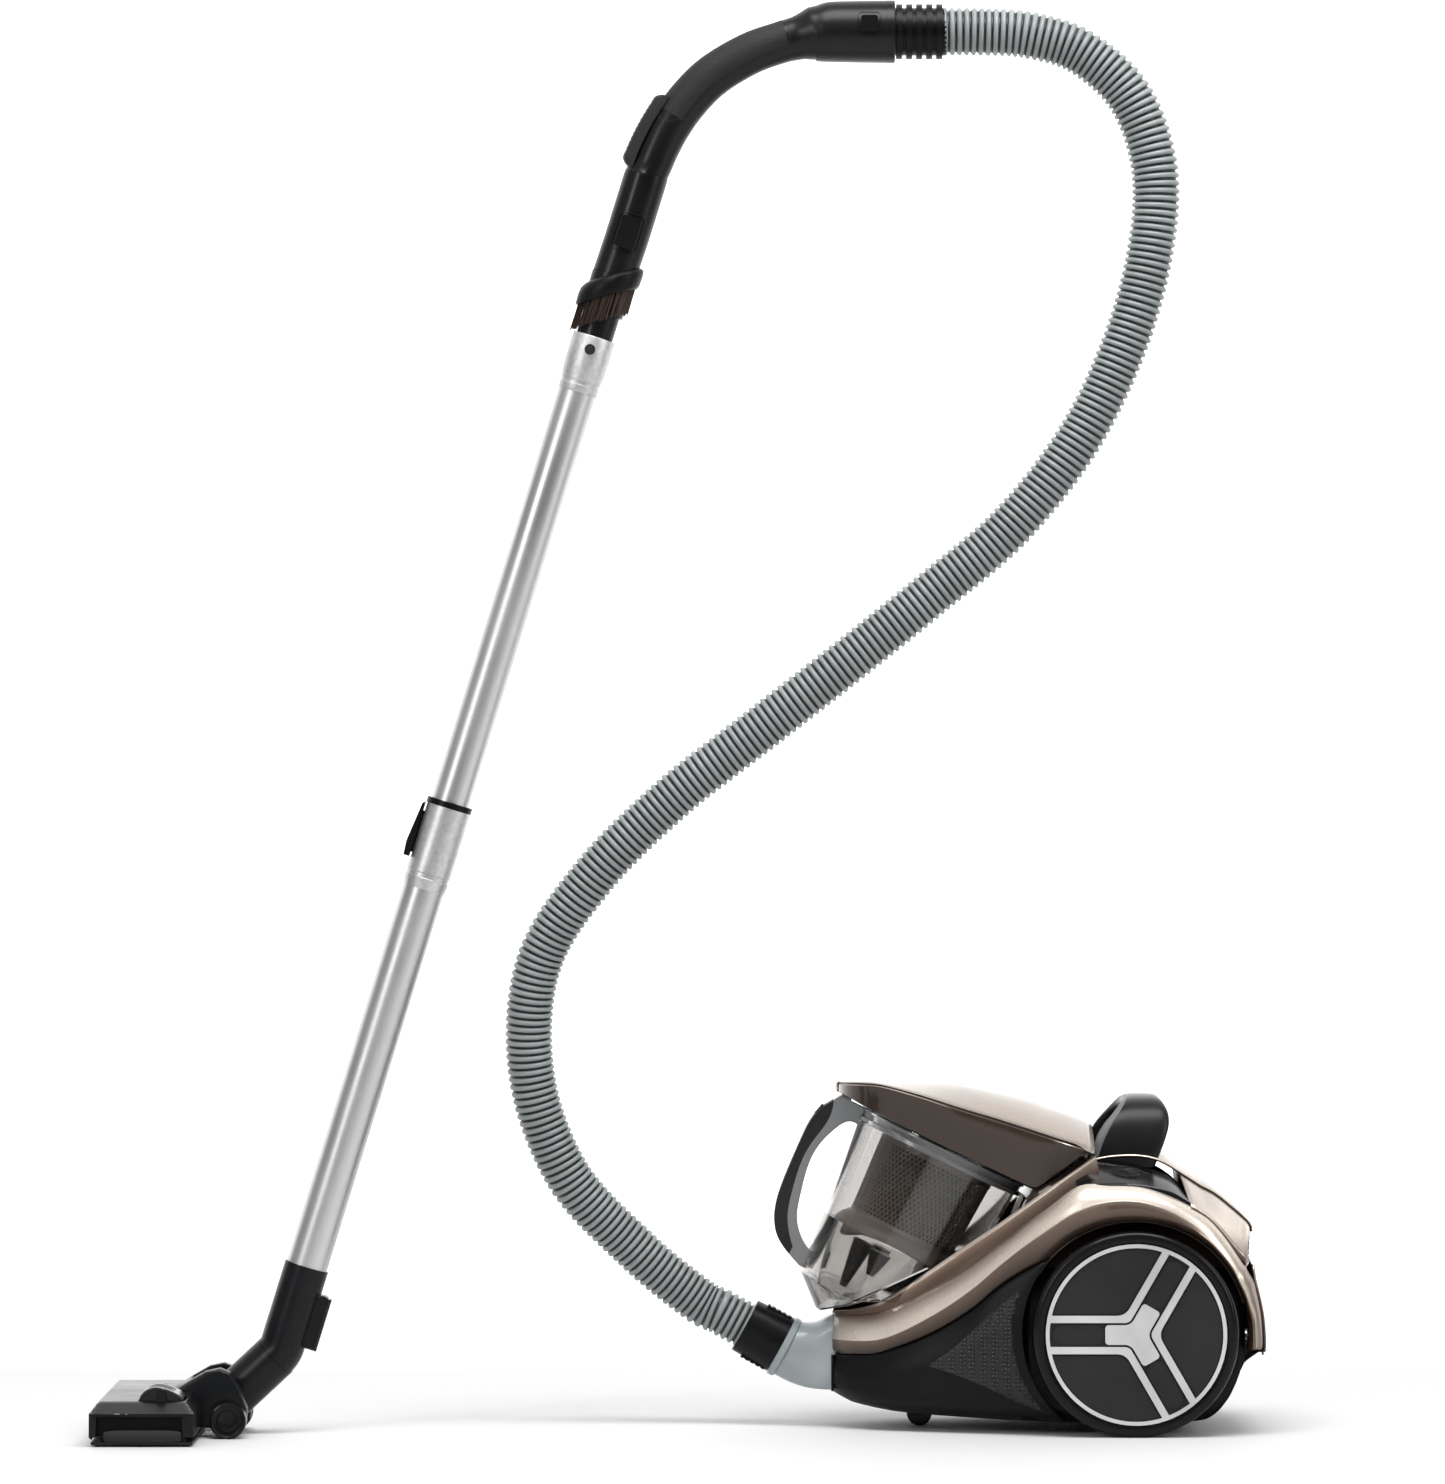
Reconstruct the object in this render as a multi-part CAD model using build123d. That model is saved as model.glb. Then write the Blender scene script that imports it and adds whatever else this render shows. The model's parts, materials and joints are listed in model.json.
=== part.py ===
from build123d import *
import math
import os

# Bagless canister vacuum cleaner, standing ready for use: canister, hose, handle,
# telescopic wand and floor head.  +Z up, the canister's nose points along -X.
# The origin is on the floor, under the middle of the whole object.
# Millimetres and degrees.

os.makedirs("parts", exist_ok=True)

# ---------------------------------------------------------------- driving dimensions
CAN_X, CAN_Y = 378.5, 43.9          # rear axle and middle plane of the canister
WHEEL_R = 86.0                      # rear wheels; also the height of their axle
WHEEL_FACE = 138.0                  # half the width over the wheels
WHEEL_W = 32.0
AXLE_R = 6.0
RUN = 0.05                          # radial clearance of a running fit
WALL = 2.6                          # thickness of the moulded shells

BIN_AT = (-156.7, 238.5)            # centre of the bin's rim, x and z from the axle
BIN_TILT = 26.0
BIN_R_TOP, BIN_R_LOW, BIN_H = 73.0, 63.0, 172.0
BIN_WALL = 2.4

INLET_TILT = 28.7                   # the hose inlet's slope above the horizontal
INLET_AT = (-293.0, 66.8)           # middle of the inlet's mouth, x and z from the axle
HOSE_R, HOSE_BORE = 19.6, 16.5

WAND_X, WAND_Y, WAND_Z = -315.2, -46.1, 140.7   # lower end of the wand's steel tubes
WAND_TILT = 17.2
LOWER_R, UPPER_R = 17.5, 16.0       # 35 mm and 32 mm steel tubes
TUBE_WALL = 0.9
CLAMP_LOW, CLAMP_TOP = 331.0, 407.0  # telescope clamp, measured up the wand
UPPER_LOW, MOUTH = 362.0, 815.7     # ends of the upper tube
SPIGOT_R = 15.0
SOCKET_LOW, SOCKET_TOP, SOCKET_R = 836.0, 961.0, 18.3
GRIP_Z = 1176.0                     # height of the handle's swivel
HOUSING = (115.5, 178.0)            # its housing, along X

SWIVEL_TILT = 43.0                  # the floor head's swivel axis above the horizontal
SEAM = (-342.6, 64.1)               # middle of the elbow's seam, x and z
ELBOW_R = 19.4
NECK = (-378.3, 21.0)               # hinge between neck and floor head, x and z
HEAD_HALF = 135.0
HEAD_FRONT, HEAD_REAR = -487.9, -401.5
HEAD_WHEEL_R = 15.2
HEAD_PIN_R = 4.0
PEDAL = (-429.9, 43.5)              # pin of the brush pedal, x and z
PEDAL_Y = -88.0                     # its middle, from the wand's plane
PEDAL_PIN_R = 1.4

ARCH_R = 94.5                       # wheel arch, about the axle
WELL_Y = 100.0                      # inner face of the wheel wells
CASTER_X, CASTER_R = -192.0, 10.5
CASTER_DISC_R, CASTER_TRAIL = 23.0, 14.0
MOTOR_AT = (6.0, 104.0)             # motor's axis, x and z
DRUM_AT = (6.0, 96.0)               # cord drum's axis, x and z
LID_PIN = (-238.5, 284.5)           # hinge of the bin's lid, x and z from the axle
BRUSH_SLANT = 32.0                  # the dusting brush's rim leans against the wand's axis

CAN = Location((CAN_X, CAN_Y, 0))
BIN = CAN * Location((BIN_AT[0], 0, BIN_AT[1]), (0, BIN_TILT, 0))
INLET = CAN * Location((INLET_AT[0], 0, INLET_AT[1]), (0, -90 + INLET_TILT, 0))
WAND = Location((WAND_X, WAND_Y, WAND_Z), (0, WAND_TILT, 0))
SWIVEL = Location((SEAM[0], WAND_Y, SEAM[1]), (0, 90 - SWIVEL_TILT, 0))
HEAD = Location((0, WAND_Y, 0))


# ---------------------------------------------------------------- helpers
def save(name, shape, at=None):
    """Writes one sub-part, as a compound of its separate solids."""
    shape = at * shape if at is not None else shape
    solids = shape.solids() if hasattr(shape, "solids") else [s for x in shape for s in x.solids()]
    export_step(solids[0] if len(solids) == 1 else Compound(children=list(solids)), f"parts/{name}.step")


def many(*shapes):
    """Separate solids kept in one node."""
    return Compound(children=[s for shape in shapes for s in shape.solids()])


def side_face(*curves):
    """A face in the x-z plane inside curves drawn in the x-y plane."""
    return make_face([Plane.XZ * edge for curve in curves for edge in curve.edges()])


def side_prism(points, half_width):
    """A prism across the canister, from an outline in the x-z plane."""
    return extrude(side_face(Polyline(points, close=True)), half_width, both=True)


def tube(r_out, r_in, z0, z1):
    """A round tube about Z from z0 to z1."""
    outer = Pos(0, 0, (z0 + z1) / 2) * Cylinder(r_out, z1 - z0)
    return outer - Pos(0, 0, (z0 + z1) / 2) * Cylinder(r_in, z1 - z0 + 2)


def rod(r, z0, z1):
    return Pos(0, 0, (z0 + z1) / 2) * Cylinder(r, z1 - z0)


def across(r, x, z, y0, y1):
    """A round bar along Y."""
    return Location((x, (y0 + y1) / 2, z), (90, 0, 0)) * Cylinder(r, y1 - y0)


def turned(points):
    """A solid of revolution about Z from an outline of (radius, height) points."""
    return revolve(side_face(Polyline(points, close=True)), Axis.Z)


def box(x0, x1, y0, y1, z0, z1):
    return Pos((x0 + x1) / 2, (y0 + y1) / 2, (z0 + z1) / 2) * Box(x1 - x0, y1 - y0, z1 - z0)


def soften(shape, edges, radius):
    """Rounds edges, or leaves the shape as it is where the radius doesn't fit."""
    try:
        return fillet(edges, radius)
    except (ValueError, RuntimeError):
        return shape


# ---------------------------------------------------------------- outlines
# Half of the body's width at places along its length, from the nose to the tail.
PLAN = [(-250, 36), (-232, 54), (-200, 74), (-150, 94), (-100, 112), (-55, 124), (0, 129),
        (50, 128), (85, 120), (109.4, 102)]
BAND_TOP = [(-250, 92), (-236, 95), (-213, 99), (-192, 108), (-154, 129), (-112, 160), (-79, 185),
            (-47, 208)]
BAND_LOW = [(-78, 146), (-113, 122), (-155, 91), (-192, 72), (-222, 64), (-250, 62)]
FENDER_OUT = [(-40, 206), (5, 208), (47, 192), (62, 181), (74, 167), (84, 153), (93, 140), (98, 130),
              (103, 121), (107.6, 101), (109, 80), (107, 72)]
HOOD_TOP = [(-42, 231), (-20, 236), (4, 237), (22, 233), (39, 223), (55, 213), (69, 204), (86, 190),
            (94, 182), (101.5, 172), (100, 150), (99, 142)]
LID_TOP = [(-245, 290), (-228, 292), (-177, 289.5), (-143, 287), (-109, 280), (-83.6, 273.4),
           (-49.6, 261.5), (-33, 254)]
# The lower shell's side outline, anticlockwise from the nose.
LOWER = [(-250, 61.6), (-250, 30), (-229, 21.5), (-195, 16.5), (-60, 11), (50, 12), (69.4, 19), (77, 29),
         (83, 40), (87, 50), (91, 60), (93, 71), (93, 120), (60, 140), (-60, 140), (-78, 145.2),
         (-113, 121.4), (-155, 90.4), (-192, 71.5), (-222, 63.4)]
# The floor head's side outline, and the middle lines of the hose and of the grip.
HEAD_SIDE = [(HEAD_FRONT, 4), (HEAD_FRONT, 27), (HEAD_FRONT + 20, 39), (HEAD_FRONT + 42, 46),
             (HEAD_REAR - 14, 45), (HEAD_REAR, 30), (HEAD_REAR, 4)]
HOSE_POINTS = [(-40, 36, 150), (-98, 22, 214), (-128, 8, 300), (-122, -6, 392), (-76, -18, 466),
               (-10, -26, 532), (64, -32, 590), (136, -37, 646), (208, -40, 704), (276, -43, 762),
               (332, -45, 834), (370, -46, 912), (392, -46.5, 990), (396, -46.5, 1060),
               (376, -46.5, 1120), (336, -46.5, 1158), (292, -46.5, 1173)]
GRIP_POINTS = [(-20, 1074.3), (-10.3, 1094.7), (4.7, 1117.2), (26.1, 1138.6), (56.1, 1156.8),
               (90, 1169.5), (117, 1176)]


def plan_prism(inset, z0, z1):
    """The body's plan outline as a solid, drawn in by inset."""
    half = [(x + (inset if i == 0 else 0) - (inset if i == len(PLAN) - 1 else 0), w - inset)
            for i, (x, w) in enumerate(PLAN)]
    right = Spline([(x, -w) for x, w in half])
    left = Spline([(x, w) for x, w in reversed(half)])
    tail = Line(right @ 1, left @ 0)
    nose = Line(left @ 1, right @ 0)
    return Pos(0, 0, z0) * extrude(make_face([right, tail, left, nose]), z1 - z0)


def inlet_cut():
    """Room for the hose inlet in the canister's nose."""
    return box(-262, -236, -28.4, 28.4, 30.6, 93.4)


def wheel_wells(radius, inner):
    """The two spaces that the rear wheels turn in, from their inner walls outwards."""
    return across(radius, 0, WHEEL_R, inner, 200), across(radius, 0, WHEEL_R, -200, -inner)


def band_face():
    """Side outline of the belt: the swept band, the fenders and the wheel arch."""
    top = Spline(BAND_TOP)
    step = Line(top @ 1, FENDER_OUT[0])
    fender = Spline(FENDER_OUT[:5])
    rear = Spline(FENDER_OUT[4:])
    tip = Line(rear @ 1, (ARCH_R - 0.8, 72))
    end = math.radians(140)
    arc = ThreePointArc((ARCH_R - 0.8, 72), (ARCH_R * math.cos(1.1), WHEEL_R + ARCH_R * math.sin(1.1)),
                        (ARCH_R * math.cos(end), WHEEL_R + ARCH_R * math.sin(end)))
    link = Line(arc @ 1, BAND_LOW[0])
    low = Spline(BAND_LOW)
    nose = Line(low @ 1, top @ 0)
    return side_face(top, step, fender, rear, tip, arc, link, low, nose)


def side_band():
    """The swept band with its fenders: one belt with a rolled-in upper lip."""
    belt = extrude(band_face(), 150, both=True)
    inner = Pos(0, 0, -WALL) * extrude(band_face(), 150, both=True)
    belt = (belt & plan_prism(0, 0, 300)) - (inner & plan_prism(WALL, -1, 301)) - plan_prism(13, -1, 301)
    return belt - inlet_cut()


def arch_liners():
    """Inner walls of the wheel arches above the lower shell."""
    upper = box(-57, 110, -150, 150, 145.6, 190)
    liners = []
    for side in (-1, 1):
        near, wall, far = side * (WELL_Y - WALL), side * WELL_Y, side * 122
        drum = across(ARCH_R - 0.6, 0, WHEEL_R, *sorted((near, far)))
        drum -= across(ARCH_R - 2.6, 0, WHEEL_R, *sorted((wall, side * 130)))
        liners.append(drum & upper & plan_prism(WALL + 0.5, 0, 300))
    return liners


def lower_shell():
    """The black tray that carries the wheels, the caster and the machinery."""
    body = side_prism(LOWER, 150) & plan_prism(0.2, 0, 300)
    for well in wheel_wells(ARCH_R - 0.6, WELL_Y):
        body -= well
    inner_points = [(x, z + (WALL if z < 60 else 20)) for x, z in LOWER]
    inner = side_prism(inner_points, 150) & plan_prism(WALL + 0.6, 0, 300)
    inner = inner & box(-246, 91, -150, 150, 0, 300)
    for well in wheel_wells(ARCH_R + WALL, WELL_Y - WALL):
        inner -= well
    body -= inner
    body -= extrude(band_face(), 160, both=True)
    body -= Pos(CASTER_X, 0, 16) * Cylinder(CASTER_DISC_R + 4.5, 10)
    boss = Pos(CASTER_X, 0, 29.5) * Cylinder(9, 17) - Pos(CASTER_X, 0, 26) * Cylinder(5 + RUN, 30)
    floor = Pos(CASTER_X, 0, 22.5) * Cylinder(CASTER_DISC_R + 8, 3)
    floor -= Pos(CASTER_X, 0, 22.5) * Cylinder(5 + RUN, 8)
    body = body + floor + boss
    for side in (-1, 1):
        body -= across(AXLE_R, 0, WHEEL_R, *sorted((side * 90, side * 110)))
    body -= inlet_cut()
    return body


def side_inserts():
    """Textured triangular panels on both flanks, in front of the wheels."""
    outline = [(-166, 58), (-92, 124), (-100, 84), (-88, 30)]
    wedge = side_prism(outline, 160)
    skin = wedge & (plan_prism(-1.4, 0, 200) - plan_prism(-0.1, -1, 201))
    return many(*skin.solids())


def cradle():
    """The sloping deck between the bands, which the dust bin rests on."""
    top = [(x + 1, z - 5.4) for x, z in BAND_TOP[1:]] + [(-44, 203)]
    low = [(x + 2, z - 2.6) for x, z in reversed(top)]
    deck = side_prism(top + low, 130) & plan_prism(WALL + 0.5, 0, 300)
    return many(deck, *arch_liners())


def hood_solid():
    """Outer shape of the hood, before hollowing."""
    seam = [(93.4, 141), (84.4, 154), (74.6, 168), (62.6, 182), (47.3, 193), (5, 209.2), (-42, 207)]
    block = side_prism(HOOD_TOP + seam, 150) & plan_prism(0.3, 0, 300)
    crown = Location((0, 0, 238 - 235), (0, 90, 0)) * Cylinder(235, 400)
    return block & crown


def rear_cover():
    """The domed hood over the motor room, recessed for the control deck."""
    inner = Pos(0, 0, -WALL) * side_prism(HOOD_TOP + [(60, 120), (-39, 120)], 150)
    inner = inner & plan_prism(WALL, 0, 300) & box(-39.4, 97.4, -150, 150, 0, 300)
    crown = Location((0, 0, 238 - 235), (0, 90, 0)) * Cylinder(235 - WALL, 400)
    shell = hood_solid() - (inner & crown)
    for side in (-1, 1):
        shell -= box(-60, 47.2, *sorted((side * 66, side * 150)), 190, 240)
    shell -= box(88, 120, -75.4, 75.4, 143.6, 168.4)
    return shell


def carry_handle():
    """An arched strap over the canister's back, leaning rearwards."""
    leg, top_half, thick = 65.0, 42.0, 11.0
    outer = [(leg, 200), (leg - 3, 236), (top_half + 6, 272), (top_half - 6, 280.2)]
    inner = [(leg - thick, 200), (leg - thick - 3, 234), (top_half - 5, 264), (top_half - 12, 268)]
    right = list(reversed(outer)) + inner
    outline = Polyline([(-y, z) for y, z in reversed(right)] + right, close=True)
    strap = extrude(make_face(Plane.YZ * outline), 60, both=True)
    side = [(-41, 216), (-33.4, 240), (-24, 260), (-7, 273.4), (1.4, 279.3), (10, 281), (18.4, 277),
            (27, 272.5), (32, 264), (31, 254), (17, 216)]
    return (strap & side_prism(side, 90)) - hood_solid()


def deck_half(side):
    """Glossy control panel on one shoulder, sloping down to the fender."""
    outline = [(-53, 226.5), (-46, 206.8), (5, 209.6), (30, 203.6), (46.4, 194.2), (46.4, 203), (26, 217),
               (-14, 227)]
    slope = make_face(Plane.YZ * Polyline((66.6, 180), (66.6, 227), (121, 208.4), (121, 180), close=True))
    slope = extrude(slope, 80, both=True)
    if side < 0:
        slope = mirror(slope, Plane.XZ)
    wedge = side_prism(outline, 150) & slope & plan_prism(5, 0, 300)
    wedge -= extrude(band_face(), 160, both=True)
    wedge -= Pos(0, 0, -3) * wedge & box(-41, 41, *sorted((side * 69.6, side * 108)), 150, 240)
    return wedge - button_at(side) * rod(9.7, -30, 10)


def button_at(side):
    """Middle of a control button; z points out of the deck's slope."""
    return Location((-5, side * 92, 218.6)) * Rot(side * -18.9, 0, 0)


def control_button():
    """Round push button with a shallow finger dish."""
    button = rod(9.3, -6.2, 0.6) + rod(10.6, -7.8, -6.2)
    return button - Pos(0, 0, 40.1) * Sphere(40)


# ---------------------------------------------------------------- rear wheels
def y_shape(half_width, reach, corner):
    """Three bars from the centre at 60, 180 and 300 degrees, with rounded inside corners."""
    bars = Sketch()
    for angle in (60, 180, 300):
        bars += Rot(0, 0, angle) * Pos(reach / 2, 0) * Rectangle(reach, 2 * half_width)
    inside = bars.vertices().sort_by_distance((0, 0, 0))[:3]
    return fillet(inside, corner)


def wheel_parts():
    """Disc, tyre and trim of a wheel whose outer face looks along +Z at height 0."""
    disc = turned([(AXLE_R + RUN, -33), (14, -33), (14, -9), (73.5, -9), (73.5, -3), (AXLE_R + RUN, -3)])
    disc += rod(14, -3.2, -3)
    sectors = Circle(71.5) - y_shape(17.5, 90, 11)
    pills = Sketch()
    for angle in (60, 180, 300):
        pills += Rot(0, 0, angle) * Pos(48, 0) * SlotOverall(43, 16.8)
    disc += Pos(0, 0, -3) * extrude(sectors + pills, 1.0)
    tyre_face = Plane.XZ * (Pos(WHEEL_R - 6, -3 - (WHEEL_W - 4) / 2) * RectangleRounded(12, WHEEL_W - 4, 5))
    tyre = revolve(tyre_face, Axis.Z)
    tyre -= rod(73.6, -9.1, 1)
    tyre -= rod(60, -40, 1)
    spokes = (y_shape(16, 90, 12) - y_shape(10, 90, 7)) & Circle(73)
    ring = Circle(75.6) - Circle(72.4)
    star = fillet((y_shape(8.2, 26, 9)).vertices().sort_by_distance((0, 0, 0))[-6:], 3)
    trim = Pos(0, 0, -2.9) * extrude(spokes + ring, 2.0)
    trim = trim - rod(200, -0.8, 5)
    cap = Pos(0, 0, -2.9) * extrude(star, 2.1)
    tyre -= Pos(0, 0, -2.9) * extrude(Circle(75.8), 6)
    return disc, tyre, many(trim, cap)


def rear_wheels():
    """Both wheels, the far one being the near one's mirror image."""
    near = Location((0, -WHEEL_FACE, WHEEL_R), (90, 0, 0))
    for kind, shape in zip(("disc", "tyre", "trim"), wheel_parts()):
        placed = near * shape
        save(f"near_wheel_{kind}", placed, CAN)
        save(f"far_wheel_{kind}", mirror(placed, Plane.XZ), CAN)
    stubs = []
    for side in (-1, 1):
        stubs.append(across(AXLE_R, 0, WHEEL_R, *sorted((side * 92, side * (WHEEL_FACE - 3.4)))))
    x, z = DRUM_AT
    spindle = across(AXLE_R, x, z, 12, 78) + across(14, x, z, 74, 79)
    save("chassis_axles", many(*stubs, spindle), CAN)


def caster():
    """Swivelling front caster: disc and fork, and its little wheel."""
    disc = Pos(0, 0, 17.5) * Cylinder(CASTER_DISC_R, 5)
    stem = Pos(0, 0, 28) * Cylinder(5, 17)
    cheeks = many(*[Pos(CASTER_TRAIL, y, 12.6) * Box(14, 3, 6.4) for y in (-11.5, 11.5)])
    slot = box(CASTER_TRAIL - 12, CASTER_TRAIL + 12, -9.8, 9.8, 0, 23)
    fork = disc + stem + cheeks.solids()[0] + cheeks.solids()[1] - slot
    pin = across(1.5, CASTER_TRAIL, CASTER_R, -13, 13)
    fork = fork - pin + pin
    roller = across(CASTER_R, CASTER_TRAIL, CASTER_R, -9, 9)
    roller -= across(1.5 + RUN, CASTER_TRAIL, CASTER_R, -13, 13)
    roller = soften(roller, roller.edges().filter_by(GeomType.CIRCLE).sort_by(Axis.Y)[-1:], 1.5)
    save("caster_fork", Pos(CASTER_X, 0, 0) * fork, CAN)
    save("caster_wheel", Pos(CASTER_X, 0, 0) * roller, CAN)


# ---------------------------------------------------------------- machinery inside
def machinery():
    """Motor and fan, cord drum and filters."""
    x, z = MOTOR_AT
    can = across(46, x, z, -82, -4) - across(43.5, x, z, -80, -24) - across(12, x, z, -90, -70)
    save("motor_can", can, CAN)
    save("impeller", across(40, x, z, -76, -60) + across(4, x, z, -60, -30), CAN)
    rings = [across(52, x, z, y, y + 8) - across(46 + 0.1, x, z, y - 1, y + 9) for y in (-80, -14)]
    save("motor_mounts", many(*rings), CAN)
    x, z = DRUM_AT
    drum = across(64, x, z, 16, 19) + across(64, x, z, 66, 69) + across(34, x, z, 18, 67)
    drum -= across(6 + RUN, x, z, 0, 90)
    save("cord_drum", drum, CAN)
    save("foam_filter", box(-96, -58, -52, 52, 100, 118), CAN)
    save("exhaust_filter", box(84, 92, -70, 70, 143, 165), CAN)


def exhaust_grille():
    """Louvred panel that closes the back of the hood."""
    panel = side_prism([(94.6, 144), (99.2, 144), (100.4, 168), (94.6, 168)], 75)
    for i in range(4):
        panel -= box(80, 120, -68, 68, 147 + 5.2 * i, 149.8 + 5.2 * i)
    return panel


# ---------------------------------------------------------------- hose inlet
def inlet_socket():
    """Frosted elbow on the canister's nose: a round mouth blending into the body."""
    lean = Location((INLET_AT[0], 0, INLET_AT[1]), (0, -90 + INLET_TILT, 0))
    mouth = lean * Circle(24.2)
    root = Location((-244, 0, 62), (0, -90, 0)) * RectangleRounded(62, 56, 14)
    hood = loft([mouth, root])
    bore = lean * Pos(0, 0, -17) * Cylinder(20.2, 46)
    throat = Location((-252, 0, 58), (0, -90, 0)) * Cylinder(17, 40)
    return hood - bore - throat


# ---------------------------------------------------------------- dust bin, in the frame of its rim
def bin_blank(inset):
    """Tapered cup with a sloping underside; x is reversed, so +x is the rear."""
    low = -BIN_H + inset
    body = turned([(0, 0), (BIN_R_TOP - inset, 0), (BIN_R_LOW - inset, -150), (38 - inset, low), (0, low)])
    rise = [(90, 20), (90, -36 + inset), (74, -48 + inset), (20, -112 + inset), (-18, -158 + inset),
            (-34, low - 0.5), (-90, low - 0.5), (-90, 20)]
    return body & side_prism(rise, 100)


def bin_cup():
    """Clear dust bin: thin walls, a flange at the rim and an inlet port in its floor."""
    cup = bin_blank(0) - bin_blank(BIN_WALL) - rod(BIN_R_TOP - BIN_WALL, -1, 1)
    flange = tube(BIN_R_TOP + 2.2, BIN_R_TOP - 0.6, -12, -8.5)
    flange += tube(BIN_R_TOP + 2.2, BIN_R_TOP - BIN_WALL, -3, 0)
    return cup + flange


def bin_handle():
    """Loop of the bin's handle with the lid's hinge lugs, and its separate grip."""
    outer = Spline([(-99, -3), (-102.5, -9), (-107.4, -17), (-111.5, -50.6), (-109.6, -87.5),
                    (-103.4, -117.5), (-95.6, -129.8), (-79, -140.6), (-66, -146)])
    foot = Polyline((-66, -146), (-40, -146), (-40, -1.8), (-98, -1.8), (-99, -3))
    hole = Spline([(-74, -17), (-81, -17.5), (-89.3, -28.4), (-96.4, -52.7), (-91, -92.6), (-85.9, -109),
                   (-75.4, -122.8), (-60, -131.7)])
    inside = Line((-60, -131.7), (-74, -17))
    loop = extrude(side_face(outer, foot), 15, both=True) - extrude(side_face(hole, inside), 40, both=True)
    loop -= turned([(0, 4), (75.2, 4), (75.2, -13), (72.2, -13), (BIN_R_LOW, -150), (0, -150)])
    inner_line = Spline([(-106, 0), (-98, -19), (-102.5, -51), (-99, -92), (-93, -113), (-84, -127),
                         (-78, -134)])
    rest = Polyline((-78, -134), (-78, -160), (-130, -160), (-130, 0), (-106, 0))
    zone = extrude(side_face(inner_line, rest), 40, both=True)
    lugs = [across(3.6, *LID_PIN, *sorted((side * 9.3, side * 15))) for side in (-1, 1)]
    webs = [side_prism([(-242.1, 284.5), (-234.9, 284.5), (-236, 272), (-247, 272)], 2.85).moved(
        Location((0, side * 12.15, 0))) for side in (-1, 1)]
    hinge = many(*[lug + web for lug, web in zip(lugs, webs)]) + across(1.5, *LID_PIN, -15, 15)
    frame = (loop - zone) + Location((BIN_AT[0], 0, BIN_AT[1]), (0, BIN_TILT, 0)).inverse() * hinge
    return frame, (loop & zone) - release_at() * box(-5.3, 5.3, -7.3, 7.3, -6, 10)


def release_at():
    """Seat of the lid's release button on the handle's outer face; z points outwards."""
    return Location((-106.5, 0, -20)) * Rot(0, -74, 0)


def cyclone():
    """Perforated shroud, its skirt and the ring of small cones under it."""
    shroud = turned([(48, -14), (50, -14), (46, -84), (44, -84)])
    skirt = turned([(20, -84.4), (52, -84.4), (56, -96), (46, -106), (20, -106)])
    skirt = skirt & side_prism([(90, -70), (90, -80), (40, -86), (8, -104), (-90, -110), (-90, -70)], 100)
    cones = []
    for x, y, low in ((-30, 0, -150), (-10, 26, -128), (-10, -26, -128)):
        cones.append(Pos(x, y, 0) * turned([(4, low), (11.5, -106.5), (4, -106.5)]))
    room = bin_blank(BIN_WALL + 0.5)
    return shroud & room, skirt & room, many(*cones)


def lid_plan(inset):
    """Plan of the lid: round at the front, running back to the hood, wider upwards."""
    w, r = 80 - inset, 246 - inset
    outline = Spline([(-34, -w - 3), (-100, -w - 1), (-160, -w), (-212, -52 + inset * 0.7), (-r + 12, 0),
                      (-212, 52 - inset * 0.7), (-160, w), (-100, w + 1), (-34, w + 3)])
    return make_face(outline + Line(outline @ 1, outline @ 0))


def bin_lid():
    """Domed lid: a wedge between the bin's rim and the hood, hollow underneath."""
    rim = [(-84.5, 202.2), (-226, 271.2), (-250, 283)]
    block = loft([Pos(0, 0, 190) * lid_plan(5), Pos(0, 0, 300) * lid_plan(-5)])
    block = block & side_prism(LID_TOP + [(-41.5, 236), (-77, 208)] + rim, 120)
    crown = Location((-143, 0, 290 - 190), (0, 90 + 10.5, 0)) * Cylinder(190, 500)
    hollow = loft([Pos(0, 0, 190) * lid_plan(8), Pos(0, 0, 300) * lid_plan(-2)])
    inside = [(x + 3, z - 3) for x, z in LID_TOP[:-1]] + [(-45, 252), (-45, 237), (-80, 190), (-226, 255)]
    hollow = hollow & side_prism(inside, 120)
    core = Location((-143, 0, 290 - 190), (0, 90 + 10.5, 0)) * Cylinder(187, 500)
    lid = (block & crown) - (hollow & core) - box(-260, -231.5, -15.4, 15.4, 262, 300)
    knuckle = across(3.6, *LID_PIN, -8.8, 8.8) + box(LID_PIN[0], -229.5, -8.8, 8.8, 282, 287.5)
    return (lid + knuckle) - across(1.5 + RUN, *LID_PIN, -20, 20)


def bin_parts():
    save("bin_cup", bin_cup(), BIN)
    frame, grip = bin_handle()
    save("bin_handle", frame, BIN)
    save("bin_grip", grip, BIN)
    shroud, skirt, cones = cyclone()
    save("mesh_shroud", shroud, BIN)
    save("shroud_skirt", skirt, BIN)
    save("cyclone_cones", cones, BIN)
    save("lid_release", soften_box(10.2, 14.2, 5.4, 2), BIN * release_at() * Pos(0, 0, 0.6))
    save("bin_lid", bin_lid(), CAN)
    save("lid_seal", tube(BIN_R_TOP - BIN_WALL - 1.2, 50.5, -8, -1), BIN)


# ---------------------------------------------------------------- hose
def hose_route():
    """Middle line of the hose from the inlet cuff to the handle."""
    start = INLET * Pos(0, 0, 34)
    knee = INLET * Pos(0, 0, 86)
    points = [start.position, knee.position] + [Vector(*p) for p in HOSE_POINTS]
    points += [Vector(HOUSING[1] + 60, WAND_Y, GRIP_Z), Vector(HOUSING[1] + 44, WAND_Y, GRIP_Z)]
    radii = []
    for before, here, after in zip(points, points[1:], points[2:]):
        turn = math.radians((here - before).get_angle(after - here))
        run = min((here - before).length, (after - here).length)
        radii.append(round(min(0.45 * run / math.tan(turn / 2), 2000), 1))
    return FilletPolyline(*points, radius=radii)


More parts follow.
